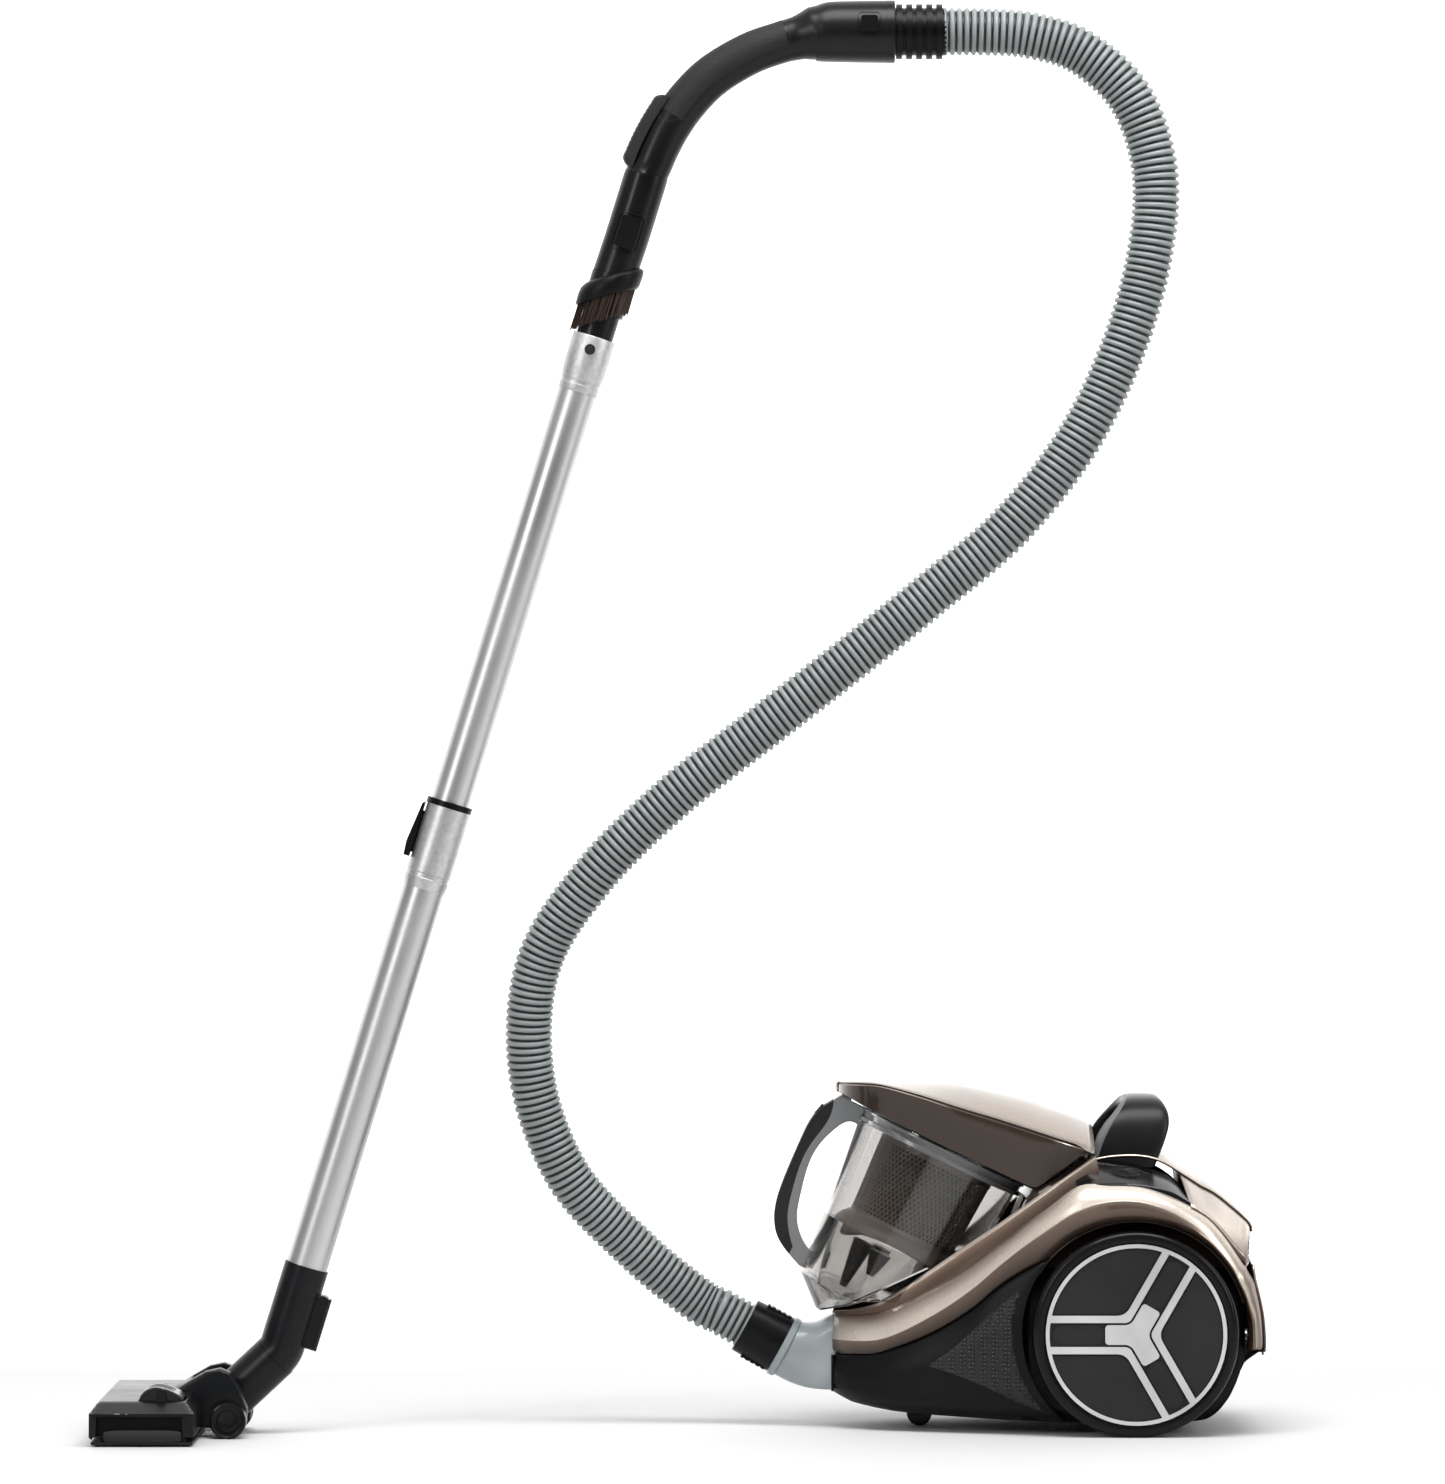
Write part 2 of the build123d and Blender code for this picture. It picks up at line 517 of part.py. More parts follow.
def hose():
    """Flexible hose with its cuffs at the inlet and at the handle."""
    route = hose_route()
    section = Plane(origin=route @ 0, z_dir=route % 0)
    ring = section * (Circle(HOSE_R) - Circle(HOSE_BORE))
    save("hose", sweep(ring, path=route))
    cuff = turned([(17, -16), (19.9, -16), (19.9, 0.6), (25.4, 0.6), (24.4, 20), (23.6, 37.5), (19.7, 37.5),
                   (19.7, 33.4), (16.6, 33.4), (16.6, 8)])
    for name, side in (("upper", 1), ("lower", -1)):
        cuff -= Pos(side * 25, 0, 17) * Box(11, 17, 23)
        tab = Pos(side * 23.4, 0, 17) * Box(4, 16.4, 22.4)
        for i in range(4):
            tab -= Pos(side * 25.9, 0, 10 + 5 * i) * Rot(90, 0, 0) * Cylinder(1.3, 30)
        save(f"cuff_tab_{name}", tab, INLET)
    save("inlet_cuff", cuff, INLET)
    swivel = Location((0, WAND_Y, GRIP_Z), (0, 90, 0))
    collar = tube(19.9, 16.6, HOUSING[1] - 26, HOUSING[1] + 43)
    collar -= rod(19.7, HOUSING[1] + 40.5, HOUSING[1] + 60)
    for i in range(5):
        z = HOUSING[1] + 1.2 + 8.4 * i
        collar += tube(23.1, 19, z, z + 4.8)
    collar += tube(21.6, 19, HOUSING[1] - 25, HOUSING[1] - 19)
    save("swivel_collar", collar, swivel)


# ---------------------------------------------------------------- handle
def grip_path():
    """Middle line of the curved grip, from the socket to the swivel housing."""
    low = WAND * Pos(0, 0, SOCKET_TOP - 6)
    points = [low.position] + [Vector(x, WAND_Y, z) for x, z in GRIP_POINTS]
    tilt = math.radians(WAND_TILT)
    return Spline(points, tangents=[Vector(math.sin(tilt), 0, math.cos(tilt)), Vector(1, 0, 0.06)])


def handle():
    """Bent handle: socket for the wand, hollow grip and swivel housing."""
    path = grip_path()
    plane = Plane(origin=path @ 0, x_dir=(0, 1, 0), z_dir=path % 0)
    outer = sweep(plane * Ellipse(16.8, 18.2), path=path)
    bore = sweep(plane * Circle(13.4), path=path)
    socket = WAND * (rod(SOCKET_R, SOCKET_LOW, SOCKET_TOP) + rod(SPIGOT_R, 785, SOCKET_LOW + 1))
    x0, x1 = HOUSING
    swivel = Location((0, WAND_Y, GRIP_Z), (0, 90, 0))
    cover = turned([(0, x0 - 24), (18.5, x0 - 24), (25.2, x0), (26.2, x1), (0, x1)])
    body = outer + socket + swivel * cover
    body -= bore
    body -= WAND * (rod(13.2, SOCKET_LOW + 2, SOCKET_TOP + 4) + rod(12.6, 780, SOCKET_LOW + 3))
    body -= swivel * rod(13.3, x0 - 20, x1 - 20)
    seat = [(0, x1 + 1), (19.95, x1 + 1), (19.95, x1 - 18.9), (21.8, x1 - 18.9), (21.8, x1 - 25.1),
            (19.95, x1 - 25.1), (19.95, x1 - 26.2), (0, x1 - 26.2)]
    body -= swivel * turned(seat)
    body -= slider_at() * Pos(0, 0, -2) * Box(21.4, 82, 6.4)
    body -= lock_at() * Pos(0, 0, -1) * Box(17.2, 29.4, 8)
    body -= square_at() * Box(14.6, 14.6, 5)
    return body


def slider_at():
    """Seat of the suction slider, on the front of the grip; y runs along the slide, z outwards."""
    return Location((-32.6, WAND_Y, 1095.5)) * Rot(0, 28 - 90, 0) * Rot(0, 0, 90) * Pos(0, 0, -0.9)


def lock_at():
    """Seat of the wand's lock button on the socket's near side; z points outwards."""
    return WAND * Location((1.5, -SOCKET_R, 907)) * Rot(90, 0, 0)


def square_at():
    """Seat of the small square catch on the swivel housing's near side."""
    return Location((156.4, WAND_Y - 25.6, GRIP_Z + 5)) * Rot(90, 0, 0)


def handle_parts():
    shell = handle()
    inlay = inlay_zone()
    save("grip_inlay", shell & inlay)
    save("handle", shell - inlay)
    save("suction_slider", suction_slider(), slider_at())
    save("wand_lock", soften_box(16.4, 27, 5.2, 2.5), lock_at() * Pos(0, 0, -0.1))
    save("hose_catch", soften_box(13.8, 13.8, 2.8, 2), square_at() * Pos(0, 0, 0.5))
    save("dust_brush", dust_brush(), WAND)
    save("bristles", bristles(), WAND)


def inlay_zone():
    """The soft-touch panel on the grip's outer side: a thin shell of the grip itself."""
    path = grip_path()
    plane = Plane(origin=path @ 0, x_dir=(0, 1, 0), z_dir=path % 0)
    shell = sweep(plane * (Ellipse(19, 20.4) - Ellipse(15.2, 16.6)), path=path)
    zone = Polyline((-22, 1122), (12, 1106), (42, 1136), (90, 1152), (90, 1200), (30, 1200), (-22, 1150),
                    close=True)
    return shell & (Pos(0, WAND_Y, 0) * extrude(side_face(zone), 40, both=True))


def soften_box(a, b, h, r):
    """A button with rounded corners, its top at z = h/2."""
    return Pos(0, 0, -h / 2) * extrude(RectangleRounded(a, b, r), h)


def suction_slider():
    """Ribbed thumb block that uncovers the grip's relief opening."""
    side = Polyline((-34, 0), (-31, 8.4), (-26, 10.4), (27, 10.4), (34, 5.5), (35, 0), close=True)
    block = extrude(make_face(Plane.YZ * side), 12.5, both=True)
    for i in range(9):
        block -= Pos(0, -22 + 5.4 * i, 11.2) * Rot(0, 90, 0) * Cylinder(1.6, 40)
    return block + Pos(0, 0, -2.4) * Box(17, 40, 4.8)


def slanted(r_out, r_in, low, high):
    """A ring about the wand between two planes that lean by BRUSH_SLANT."""
    ring = tube(r_out, r_in, low - 60, high + 60)
    lower = Pos(0, 0, low) * Rot(0, -BRUSH_SLANT, 0) * Pos(0, 0, -100) * Box(300, 300, 200)
    upper = Pos(0, 0, high) * Rot(0, -BRUSH_SLANT, 0) * Pos(0, 0, 100) * Box(300, 300, 200)
    return ring - lower - upper


def dust_brush():
    """Collar of the built-in dusting brush, sliding on the handle's socket."""
    return slanted(23.6, SOCKET_R + RUN, 850.5, 866) + slanted(21, SOCKET_R + RUN, 865, 870)


def bristles():
    return slanted(21.4, 18.8, 828.4, 850.4)


# ---------------------------------------------------------------- wand
def wand_parts():
    """Telescopic wand: two steel tubes, the clamp and its slider, and the mouth collar."""
    upper = tube(UPPER_R, UPPER_R - TUBE_WALL, UPPER_LOW, MOUTH - 34)
    save("upper_tube", upper, WAND)
    mouth = turned([(UPPER_R, MOUTH - 48), (16.8, MOUTH - 48), (16.8, MOUTH - 40), (18, MOUTH - 26),
                    (18, MOUTH), (SPIGOT_R + RUN, MOUTH), (SPIGOT_R + RUN, MOUTH - 33.8),
                    (UPPER_R, MOUTH - 33.8)])
    save("mouth_collar", mouth, WAND)
    save("lower_tube", tube(LOWER_R, LOWER_R - TUBE_WALL, -36, CLAMP_TOP - 20), WAND)
    collar = turned([(LOWER_R, CLAMP_LOW), (18, CLAMP_LOW), (19, CLAMP_LOW + 9), (18.3, CLAMP_LOW + 9.5),
                     (18.3, CLAMP_LOW + 13), (19, CLAMP_LOW + 13.5), (19, CLAMP_TOP - 5),
                     (LOWER_R, CLAMP_TOP - 5)])
    collar += tube(19, UPPER_R + 0.1, CLAMP_TOP - 20, CLAMP_TOP - 5)
    collar -= Pos(-19, 0, 378) * Box(2.4, 11, 54)
    save("clamp_collar", collar, WAND)
    save("clamp_ring", tube(19.5, UPPER_R + 0.1, CLAMP_TOP - 5, CLAMP_TOP), WAND)
    outline = Polyline((-19.8, 402), (-22, 400), (-25.6, 366), (-24.6, 354), (-19.8, 354), close=True)
    lever = extrude(side_face(outline), 9, both=True) + Pos(-19.0, 0, 376) * Box(2.0, 10, 36)
    save("clamp_slider", lever, WAND)


# ---------------------------------------------------------------- floor head
def elbow():
    """Upper elbow: socket for the wand, bending to the slanted swivel, with the parking hook."""
    meet = WAND * Pos(0, 0, -75.1)
    path = FilletPolyline(WAND.position, meet.position, SWIVEL.position, radius=24)
    plane = Plane(origin=path @ 0, z_dir=path % 0)
    body = sweep(plane * Circle(ELBOW_R - 0.6), path=path)
    body += SWIVEL * Pos(0, 0, 1.5) * Cylinder(ELBOW_R, 3)
    body -= WAND * rod(LOWER_R + RUN, -36.5, 5)
    body -= sweep(plane * Circle(15.6), path=path)
    body += SWIVEL * tube(17, 15.2, -12, 1)
    body -= SWIVEL * rod(15.2, -20, 3)
    hook = WAND * (Pos(23, 0, -43.5) * Box(11, 12, 45) - Pos(19.5, 0, -24) * Box(4, 13, 20))
    return body + (hook - WAND * rod(18, -80, 5))


def neck():
    """Lower elbow: turns on the upper one and ends in the barrel of the floor head's hinge."""
    pipe = SWIVEL * (tube(ELBOW_R, 14.6, -52, -0.4) - rod(17 + RUN, -12.4, 1))
    barrel = Location((NECK[0], WAND_Y, NECK[1]), (90, 0, 0)) * Cylinder(13, 44)
    drop = SWIVEL * rod(14.6, -60, 5)
    body = pipe + barrel - drop
    return body - Location((NECK[0], WAND_Y, NECK[1]), (90, 0, 0)) * Cylinder(HEAD_PIN_R + RUN, 60)


def head_body():
    """Hollow floor head with cheeks for the neck and the wheels behind it."""
    body = HEAD * side_prism(HEAD_SIDE, HEAD_HALF)
    for side in (-1, 1):
        body -= HEAD * Pos(0, side * (HEAD_HALF + 20), 62) * Rot(side * -30, 0, 0) * Box(1200, 90, 40)
    inside = [(HEAD_FRONT + 3, 3), (HEAD_FRONT + 3, 25), (HEAD_FRONT + 22, 36), (HEAD_FRONT + 42, 42),
              (HEAD_REAR - 16, 41), (HEAD_REAR - 3, 28), (HEAD_REAR - 3, 3)]
    body -= HEAD * side_prism(inside, HEAD_HALF - 22)
    cheek = [(HEAD_REAR - 20, 8), (HEAD_REAR - 20, 44), (NECK[0] - 16, 56), (NECK[0] + 6, 44),
             (NECK[0] + 16, 20), (NECK[0] + 10, 8)]
    for side in (-1, 1):
        body += HEAD * Pos(0, side * 33, 0) * side_prism(cheek, 8)
    body -= HEAD * across(HEAD_PIN_R, *NECK, -30.8, 30.8)
    for side in (-1, 1):
        body -= HEAD * across(2.5, NECK[0], HEAD_WHEEL_R, *sorted((side * 31, side * 70)))
    body -= HEAD * Pos(NECK[0], 0, 30) * Box(66, 48.8, 60)
    body -= HEAD * Pos(PEDAL[0], PEDAL_Y, 46) * Box(39, 48, 18)
    body -= HEAD * across(PEDAL_PIN_R, *PEDAL, PEDAL_Y - 26, PEDAL_Y + 26)
    return body


def sole():
    """Metal sole with its suction mouth, and the glides it rests on."""
    middle = (HEAD_FRONT + HEAD_REAR) / 2
    plate = Pos(middle, 0, 2.8) * Box(HEAD_REAR - HEAD_FRONT - 3, 2 * HEAD_HALF - 4, 2.4)
    plate -= Pos(HEAD_FRONT + 30, 0, 2.8) * Box(18, 210, 10)
    glides = []
    for x in (HEAD_FRONT + 9, HEAD_REAR - 8):
        for y in (-108, 108):
            glides.append(Pos(x, y, 0.8) * Box(7, 40, 1.6))
    return many(plate, *glides)


def head_parts():
    save("elbow", elbow())
    save("neck", neck())
    save("head_body", head_body())
    save("sole_plate", sole(), HEAD)
    pins = [across(HEAD_PIN_R, *NECK, -30.6, 30.6),
            across(PEDAL_PIN_R, *PEDAL, PEDAL_Y - 26, PEDAL_Y + 26)]
    wheels = []
    for side in (-1, 1):
        pins.append(across(2.5, NECK[0], HEAD_WHEEL_R, *sorted((side * 31, side * 57.6))))
        wheels.append(across(HEAD_WHEEL_R, NECK[0], HEAD_WHEEL_R, *sorted((side * 42, side * 57)))
                      - across(2.5 + RUN, NECK[0], HEAD_WHEEL_R, -80, 80))
    save("head_pins", many(*pins), HEAD)
    save("head_wheels", many(*wheels), HEAD)
    rocker = side_prism([(HEAD_FRONT + 39.5, 39), (HEAD_FRONT + 39.5, 47), (HEAD_FRONT + 58, 45),
                         (HEAD_FRONT + 76.5, 49), (HEAD_FRONT + 76.5, 39)], 23)
    rocker -= across(PEDAL_PIN_R + RUN, *PEDAL, -30, 30)
    save("brush_pedal", Pos(0, PEDAL_Y, 0) * rocker, HEAD)


if __name__ == "__main__":
    rear_wheels()
    caster()
    save("side_band", side_band(), CAN)
    save("lower_shell", lower_shell(), CAN)
    save("side_inserts", side_inserts(), CAN)
    save("cradle", cradle(), CAN)
    save("rear_cover", rear_cover(), CAN)
    save("carry_handle", carry_handle(), CAN)
    save("control_deck", many(deck_half(-1), deck_half(1)), CAN)
    save("power_button", control_button(), CAN * button_at(-1))
    save("rewind_button", control_button(), CAN * button_at(1))
    machinery()
    save("exhaust_grille", exhaust_grille(), CAN)
    save("inlet_socket", inlet_socket(), CAN)
    bin_parts()
    hose()
    handle_parts()
    wand_parts()
    head_parts()
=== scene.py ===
"""Bagless canister vacuum cleaner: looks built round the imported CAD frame."""

import bpy
import json
import math
import random
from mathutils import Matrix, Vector


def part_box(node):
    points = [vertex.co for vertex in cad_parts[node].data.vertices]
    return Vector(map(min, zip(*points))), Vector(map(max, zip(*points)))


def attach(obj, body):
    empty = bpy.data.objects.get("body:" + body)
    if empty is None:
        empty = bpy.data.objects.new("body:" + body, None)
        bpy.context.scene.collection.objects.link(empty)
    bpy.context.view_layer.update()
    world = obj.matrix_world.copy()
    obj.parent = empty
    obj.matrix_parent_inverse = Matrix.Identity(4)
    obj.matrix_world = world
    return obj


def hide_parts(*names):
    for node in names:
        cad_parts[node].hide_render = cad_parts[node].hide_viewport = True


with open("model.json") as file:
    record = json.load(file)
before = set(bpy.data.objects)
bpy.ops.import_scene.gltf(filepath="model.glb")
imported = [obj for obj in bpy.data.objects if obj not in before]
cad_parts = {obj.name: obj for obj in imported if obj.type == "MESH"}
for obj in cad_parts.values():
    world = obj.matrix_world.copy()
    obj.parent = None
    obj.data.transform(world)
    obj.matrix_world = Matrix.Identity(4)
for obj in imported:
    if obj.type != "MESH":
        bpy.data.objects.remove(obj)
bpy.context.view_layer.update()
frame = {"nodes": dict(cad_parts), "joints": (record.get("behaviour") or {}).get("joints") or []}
random.seed(7)
nodes = frame["nodes"]
joints = {j["name"]: j for j in frame["joints"]}
AXLE = Vector(joints["near_wheel_spin"]["pos_m"])
MID_Y = joints["inlet_swivel"]["pos_m"][1]
WAND_Y = joints["neck_hinge"]["pos_m"][1]
UP = Vector(joints["telescope"]["axis"]).normalized()
SIDE = Vector((UP.z, 0, -UP.x))
WAND = Vector((-0.3152, WAND_Y, 0.1407))        # lower end of the wand's tubes
ACROSS, ABOVE = Vector((0, 1, 0)), Vector((0, 0, 1))
ARCH_R, ARCH_Z = 94.5, 86           # wheel arch, millimetres
BRUSH_LEAN = 0.62                   # slope of the dusting brush's rims
BIN_AT, BIN_TILT = (-156.7, 238.5), math.radians(26)
INLET_AT, INLET_TILT = (-293, 66.8), math.radians(28.7)
GRIP_Z = 1.176                      # height of the handle's swivel, metres
HEAD_X, HEAD_HALF = (-487.9, -401.5), 135       # floor head's front, rear and half width
PEDAL_X, PEDAL_Y = (-449.4, -410.4), (-112.0, -64.0)    # the pedal's pocket
PEDAL_PIN = (-429.9, 43.5)


# ------------------------------------------------------------ places
def can(x, y, z):
    """Row point from millimetres measured from under the rear axle's middle."""
    return Vector((AXLE.x + x / 1000, MID_Y + y / 1000, z / 1000))


def wand(t, u=0.0, y=0.0):
    """Row point t up the wand, u to its rear side and y across, in millimetres."""
    return WAND + UP * (t / 1000) + SIDE * (u / 1000) + Vector((0, y / 1000, 0))


def along(points, x):
    """Piecewise-linear value at x through (x, value) points."""
    if x <= points[0][0]:
        return points[0][1]
    for (xa, ya), (xb, yb) in zip(points, points[1:]):
        if x <= xb:
            return ya + (yb - ya) * (x - xa) / (xb - xa)
    return points[-1][1]


def catmull(a, b, c, d, t):
    """Point at t from b to c on a Catmull-Rom line."""
    return 0.5 * (2 * b + (c - a) * t + (2 * a - 5 * b + 4 * c - d) * t * t
                  + (3 * b - a - 3 * c + d) * t ** 3)


def smooth_line(points, count):
    """Points evenly spread along a Catmull-Rom line through the given ones."""
    pts = [Vector(p) for p in points]
    pts = [2 * pts[0] - pts[1]] + pts + [2 * pts[-1] - pts[-2]]
    fine = []
    for i in range(1, len(pts) - 2):
        a, b, c, d = pts[i - 1:i + 3]
        fine += [catmull(a, b, c, d, k / 24) for k in range(24)]
    fine.append(pts[-2])
    run = [0.0]
    for a, b in zip(fine, fine[1:]):
        run.append(run[-1] + (b - a).length)
    out, j = [], 0
    for i in range(count):
        want = run[-1] * i / (count - 1)
        while j < len(run) - 2 and run[j + 1] < want:
            j += 1
        f = (want - run[j]) / max(run[j + 1] - run[j], 1e-9)
        out.append(fine[j].lerp(fine[j + 1], min(max(f, 0), 1)))
    return out


# ------------------------------------------------------------ meshes
def piece(name, verts, faces, material, body, slot, replaces=(), crease=35, modifiers=()):
    """A mesh that rides on a CAD body and may stand for CAD nodes; its slot argument is not used."""
    data = bpy.data.meshes.new(name)
    data.from_pydata([tuple(v) for v in verts], [], faces)
    data.validate()
    data.polygons.foreach_set("use_smooth", [True] * len(data.polygons))
    data.set_sharp_from_angle(angle=math.radians(crease))
    data.materials.append(material)
    obj = bpy.data.objects.new(name, data)
    bpy.context.scene.collection.objects.link(obj)
    for kind, settings in modifiers:
        mod = obj.modifiers.new(kind.lower(), kind)
        for key, value in settings.items():
            setattr(mod, key, value)
    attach(obj, body)
    if replaces:
        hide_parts(*replaces)
    return obj


def shell(mm, offset=-1):
    """Modifier that gives a shell its wall: offset -1 inwards, 0 both ways, 1 outwards."""
    return [("SOLIDIFY", {"thickness": mm / 1000, "offset": offset})]


def bevel(mm, segments):
    return [("BEVEL", {"width": mm / 1000, "segments": segments, "limit_method": "ANGLE"})]


def skin(rows, closed=False, start_cap=False, end_cap=False):
    """Faces between rows of points; closed joins each row's ends."""
    n = len(rows[0])
    verts = [p for row in rows for p in row]
    faces = []
    for r in range(len(rows) - 1):
        for i in range(n if closed else n - 1):
            j = (i + 1) % n
            faces.append((r * n + i, r * n + j, (r + 1) * n + j, (r + 1) * n + i))
    if start_cap:
        faces.append(tuple(range(n - 1, -1, -1)))
    if end_cap:
        faces.append(tuple((len(rows) - 1) * n + i for i in range(n)))
    return verts, faces


def solid(rows):
    """A closed body between rows of points."""
    return skin(rows, closed=True, start_cap=True, end_cap=True)


def join(*parts):
    """Several (verts, faces) pairs as one."""
    verts, faces = [], []
    for v, f in parts:
        base = len(verts)
        verts += list(v)
        faces += [tuple(base + i for i in face) for face in f]
    return verts, faces


def turn(count):
    """Angles of even steps round a circle."""
    return [2 * math.pi * k / count for k in range(count)]


def ring(centre, x_axis, y_axis, rx, ry, count, power=2.0):
    """Points of a (super)ellipse about centre."""
    out = []
    for i in range(count):
        a = 2 * math.pi * i / count
        c, s = math.cos(a), math.sin(a)
        out.append(centre + x_axis * (rx * math.copysign(abs(c) ** (2 / power), c))
                   + y_axis * (ry * math.copysign(abs(s) ** (2 / power), s)))
    return out


def frames(path):
    """Point, tangent and two steady side directions along a path near the X-Z plane."""
    out = []
    for i, p in enumerate(path):
        tangent = (path[min(i + 1, len(path) - 1)] - path[max(i - 1, 0)]).normalized()
        across = (ACROSS - tangent * tangent.y).normalized()
        out.append((p, tangent, across, tangent.cross(across)))
    return out


def dress(names, material):
    """CAD nodes that stay visible get their finish here."""
    for name in names:
        data = nodes[name].data
        data.materials.clear()
        data.materials.append(material)


# ------------------------------------------------------------ materials
def shader(name):
    m = bpy.data.materials.new(name)
    m.use_nodes = True
    tree = m.node_tree
    return m, tree, tree.nodes["Principled BSDF"]


def add(tree, kind, **settings):
    node = tree.nodes.new(kind)
    for key, value in settings.items():
        setattr(node, key, value)
    return node


def put(node, socket, value):
    node.inputs[socket].default_value = value


def link(output, node, socket):
    node.id_data.links.new(output, node.inputs[socket])


def noise(tree, scale, detail=3.0, stretch=(1, 1, 1)):
    """Noise in object space; stretch scales it along each axis."""
    where = add(tree, "ShaderNodeTexCoord")
    mapping = add(tree, "ShaderNodeMapping")
    put(mapping, "Scale", stretch)
    tex = add(tree, "ShaderNodeTexNoise")
    put(tex, "Scale", scale)
    put(tex, "Detail", detail)
    link(where.outputs["Object"], mapping, "Vector")
    link(mapping.outputs["Vector"], tex, "Vector")
    return tex.outputs["Fac"]


def cells(tree, scale, out="Distance", scatter=1.0):
    where = add(tree, "ShaderNodeTexCoord")
    tex = add(tree, "ShaderNodeTexVoronoi")
    put(tex, "Scale", scale)
    put(tex, "Randomness", scatter)
    link(where.outputs["Object"], tex, "Vector")
    return tex.outputs[out]


def ramp(tree, value, *stops):
    node = add(tree, "ShaderNodeValToRGB")
    while len(node.color_ramp.elements) < len(stops):
        node.color_ramp.elements.new(0.5)
    for element, (pos, colour) in zip(node.color_ramp.elements, stops):
        element.position = pos
        element.color = (*colour, 1) if hasattr(colour, "__len__") else (colour, colour, colour, 1)
    link(value, node, "Fac")
    return node.outputs["Color"]


def bump(tree, bsdf, height, strength, distance):
    node = add(tree, "ShaderNodeBump")
    put(node, "Strength", strength)
    put(node, "Distance", distance)
    link(height, node, "Height")
    link(node.outputs["Normal"], bsdf, "Normal")


def plastic(name, colour, rough, grain=1600, depth=0.12, spread=0.08, coat=0.0, gloss=0.25):
    """Moulded plastic: a fine grain, uneven gloss and a slight tone drift."""
    m, tree, bsdf = shader(name)
    n = noise(tree, grain, 2.0)
    broad = noise(tree, 14, 3.0)
    lo, hi = [c * 0.82 for c in colour], [min(c * 1.18, 1) for c in colour]
    link(ramp(tree, broad, (0.3, lo), (0.7, hi)), bsdf, "Base Color")
    link(ramp(tree, broad, (0.3, rough - spread), (0.7, rough + spread)), bsdf, "Roughness")
    put(bsdf, "Coat Weight", coat)
    put(bsdf, "Coat Roughness", 0.12)
    put(bsdf, "Specular IOR Level", gloss)
    bump(tree, bsdf, n, depth, 0.0004)
    return m


def metal(name, colour, rough, stretch):
    """Drawn or brushed metal; stretch squeezes the grain across its length."""
    m, tree, bsdf = shader(name)
    grain = noise(tree, 260, 4.0, stretch)
    broad = noise(tree, 9, 2.0)
    put(bsdf, "Metallic", 1.0)
    lo, hi = [c * 0.86 for c in colour], [min(c * 1.08, 1) for c in colour]
    link(ramp(tree, grain, (0.3, lo), (0.7, hi)), bsdf, "Base Color")
    link(ramp(tree, broad, (0.3, rough * 0.85), (0.7, rough * 1.2)), bsdf, "Roughness")
    bump(tree, bsdf, grain, 0.06, 0.0002)
    return m


def paint_with_painted_light(name, top_highlight, light, middle, dark, rough, mark=None):
    """Metallic paint with fine flake; its tone ramp by which way the surface faces is painted light: painted
    highlight on faces turned up, painted shade on faces turned down.
    """
    m, tree, bsdf = shader(name)
    where = add(tree, "ShaderNodeTexCoord")
    split = add(tree, "ShaderNodeSeparateXYZ")
    link(where.outputs["Normal"], split, "Vector")
    painted_light_by_facing = add(tree, "ShaderNodeMapRange")
    put(painted_light_by_facing, "From Min", -0.75)
    put(painted_light_by_facing, "From Max", 0.95)
    link(split.outputs["Z"], painted_light_by_facing, "Value")
    facing = painted_light_by_facing.outputs["Result"]
    # A mark attribute, where given, carries further painted highlight and shade laid on the mesh; it is mixed
    # with the painted light by facing.
    if mark:
        painted_light = add(tree, "ShaderNodeAttribute")
        painted_light.attribute_name = mark
        blend = add(tree, "ShaderNodeMix", data_type="FLOAT")
        put(blend, "Factor", 0.78)
        link(facing, blend, "A")
        link(painted_light.outputs["Fac"], blend, "B")
        facing = blend.outputs["Result"]
    # Painted light: the dark stop is painted shade, the top stop the painted highlight on faces turned
    # straight up.
    tone = ramp(tree, facing, (0.16, dark), (0.50, middle), (0.77, light), (1.0, top_highlight))
    flake = ramp(tree, cells(tree, 1500, "Color"), (0.0, 0.72), (0.85, 1.0), (1.0, 1.45))
    mix = add(tree, "ShaderNodeMix", data_type="RGBA", blend_type="MULTIPLY")
    put(mix, "Factor", 0.7)
    link(tone, mix, "A")
    link(flake, mix, "B")
    link(mix.outputs["Result"], bsdf, "Base Color")
    put(bsdf, "Metallic", 0.72)
    broad = noise(tree, 11, 3.0)
    link(ramp(tree, broad, (0.3, rough - 0.04), (0.7, rough + 0.05)), bsdf, "Roughness")
    put(bsdf, "Coat Weight", 0.5)
    put(bsdf, "Coat Roughness", 0.08)
    bump(tree, bsdf, cells(tree, 1500), 0.04, 0.0003)
    return m


def glassy(name, colour, rough, ior=1.46, alpha=1.0):
    """Clear or tinted plastic with faint scuffs."""
    m, tree, bsdf = shader(name)
    put(bsdf, "Base Color", (*colour, 1))
    put(bsdf, "Transmission Weight", 1.0)
    put(bsdf, "IOR", ior)
    put(bsdf, "Alpha", alpha)
    scuff = noise(tree, 60, 5.0, (1, 1, 4))
    link(ramp(tree, scuff, (0.45, rough), (0.8, rough + 0.07)), bsdf, "Roughness")
    bump(tree, bsdf, noise(tree, 25, 2.0), 0.04, 0.0008)
    return m


def dimpled(name, colour, rough, scale, depth):
    """Moulded plastic with a regular pattern of small dents."""
    m = plastic(name, colour, rough, 1400, 0.1)
    tree = m.node_tree
    bsdf = tree.nodes["Principled BSDF"]
    dents = ramp(tree, cells(tree, scale, "Distance", 0.25), (0.15, 0.0), (0.5, 1.0))
    bump(tree, bsdf, dents, depth, 0.0012)
    return m
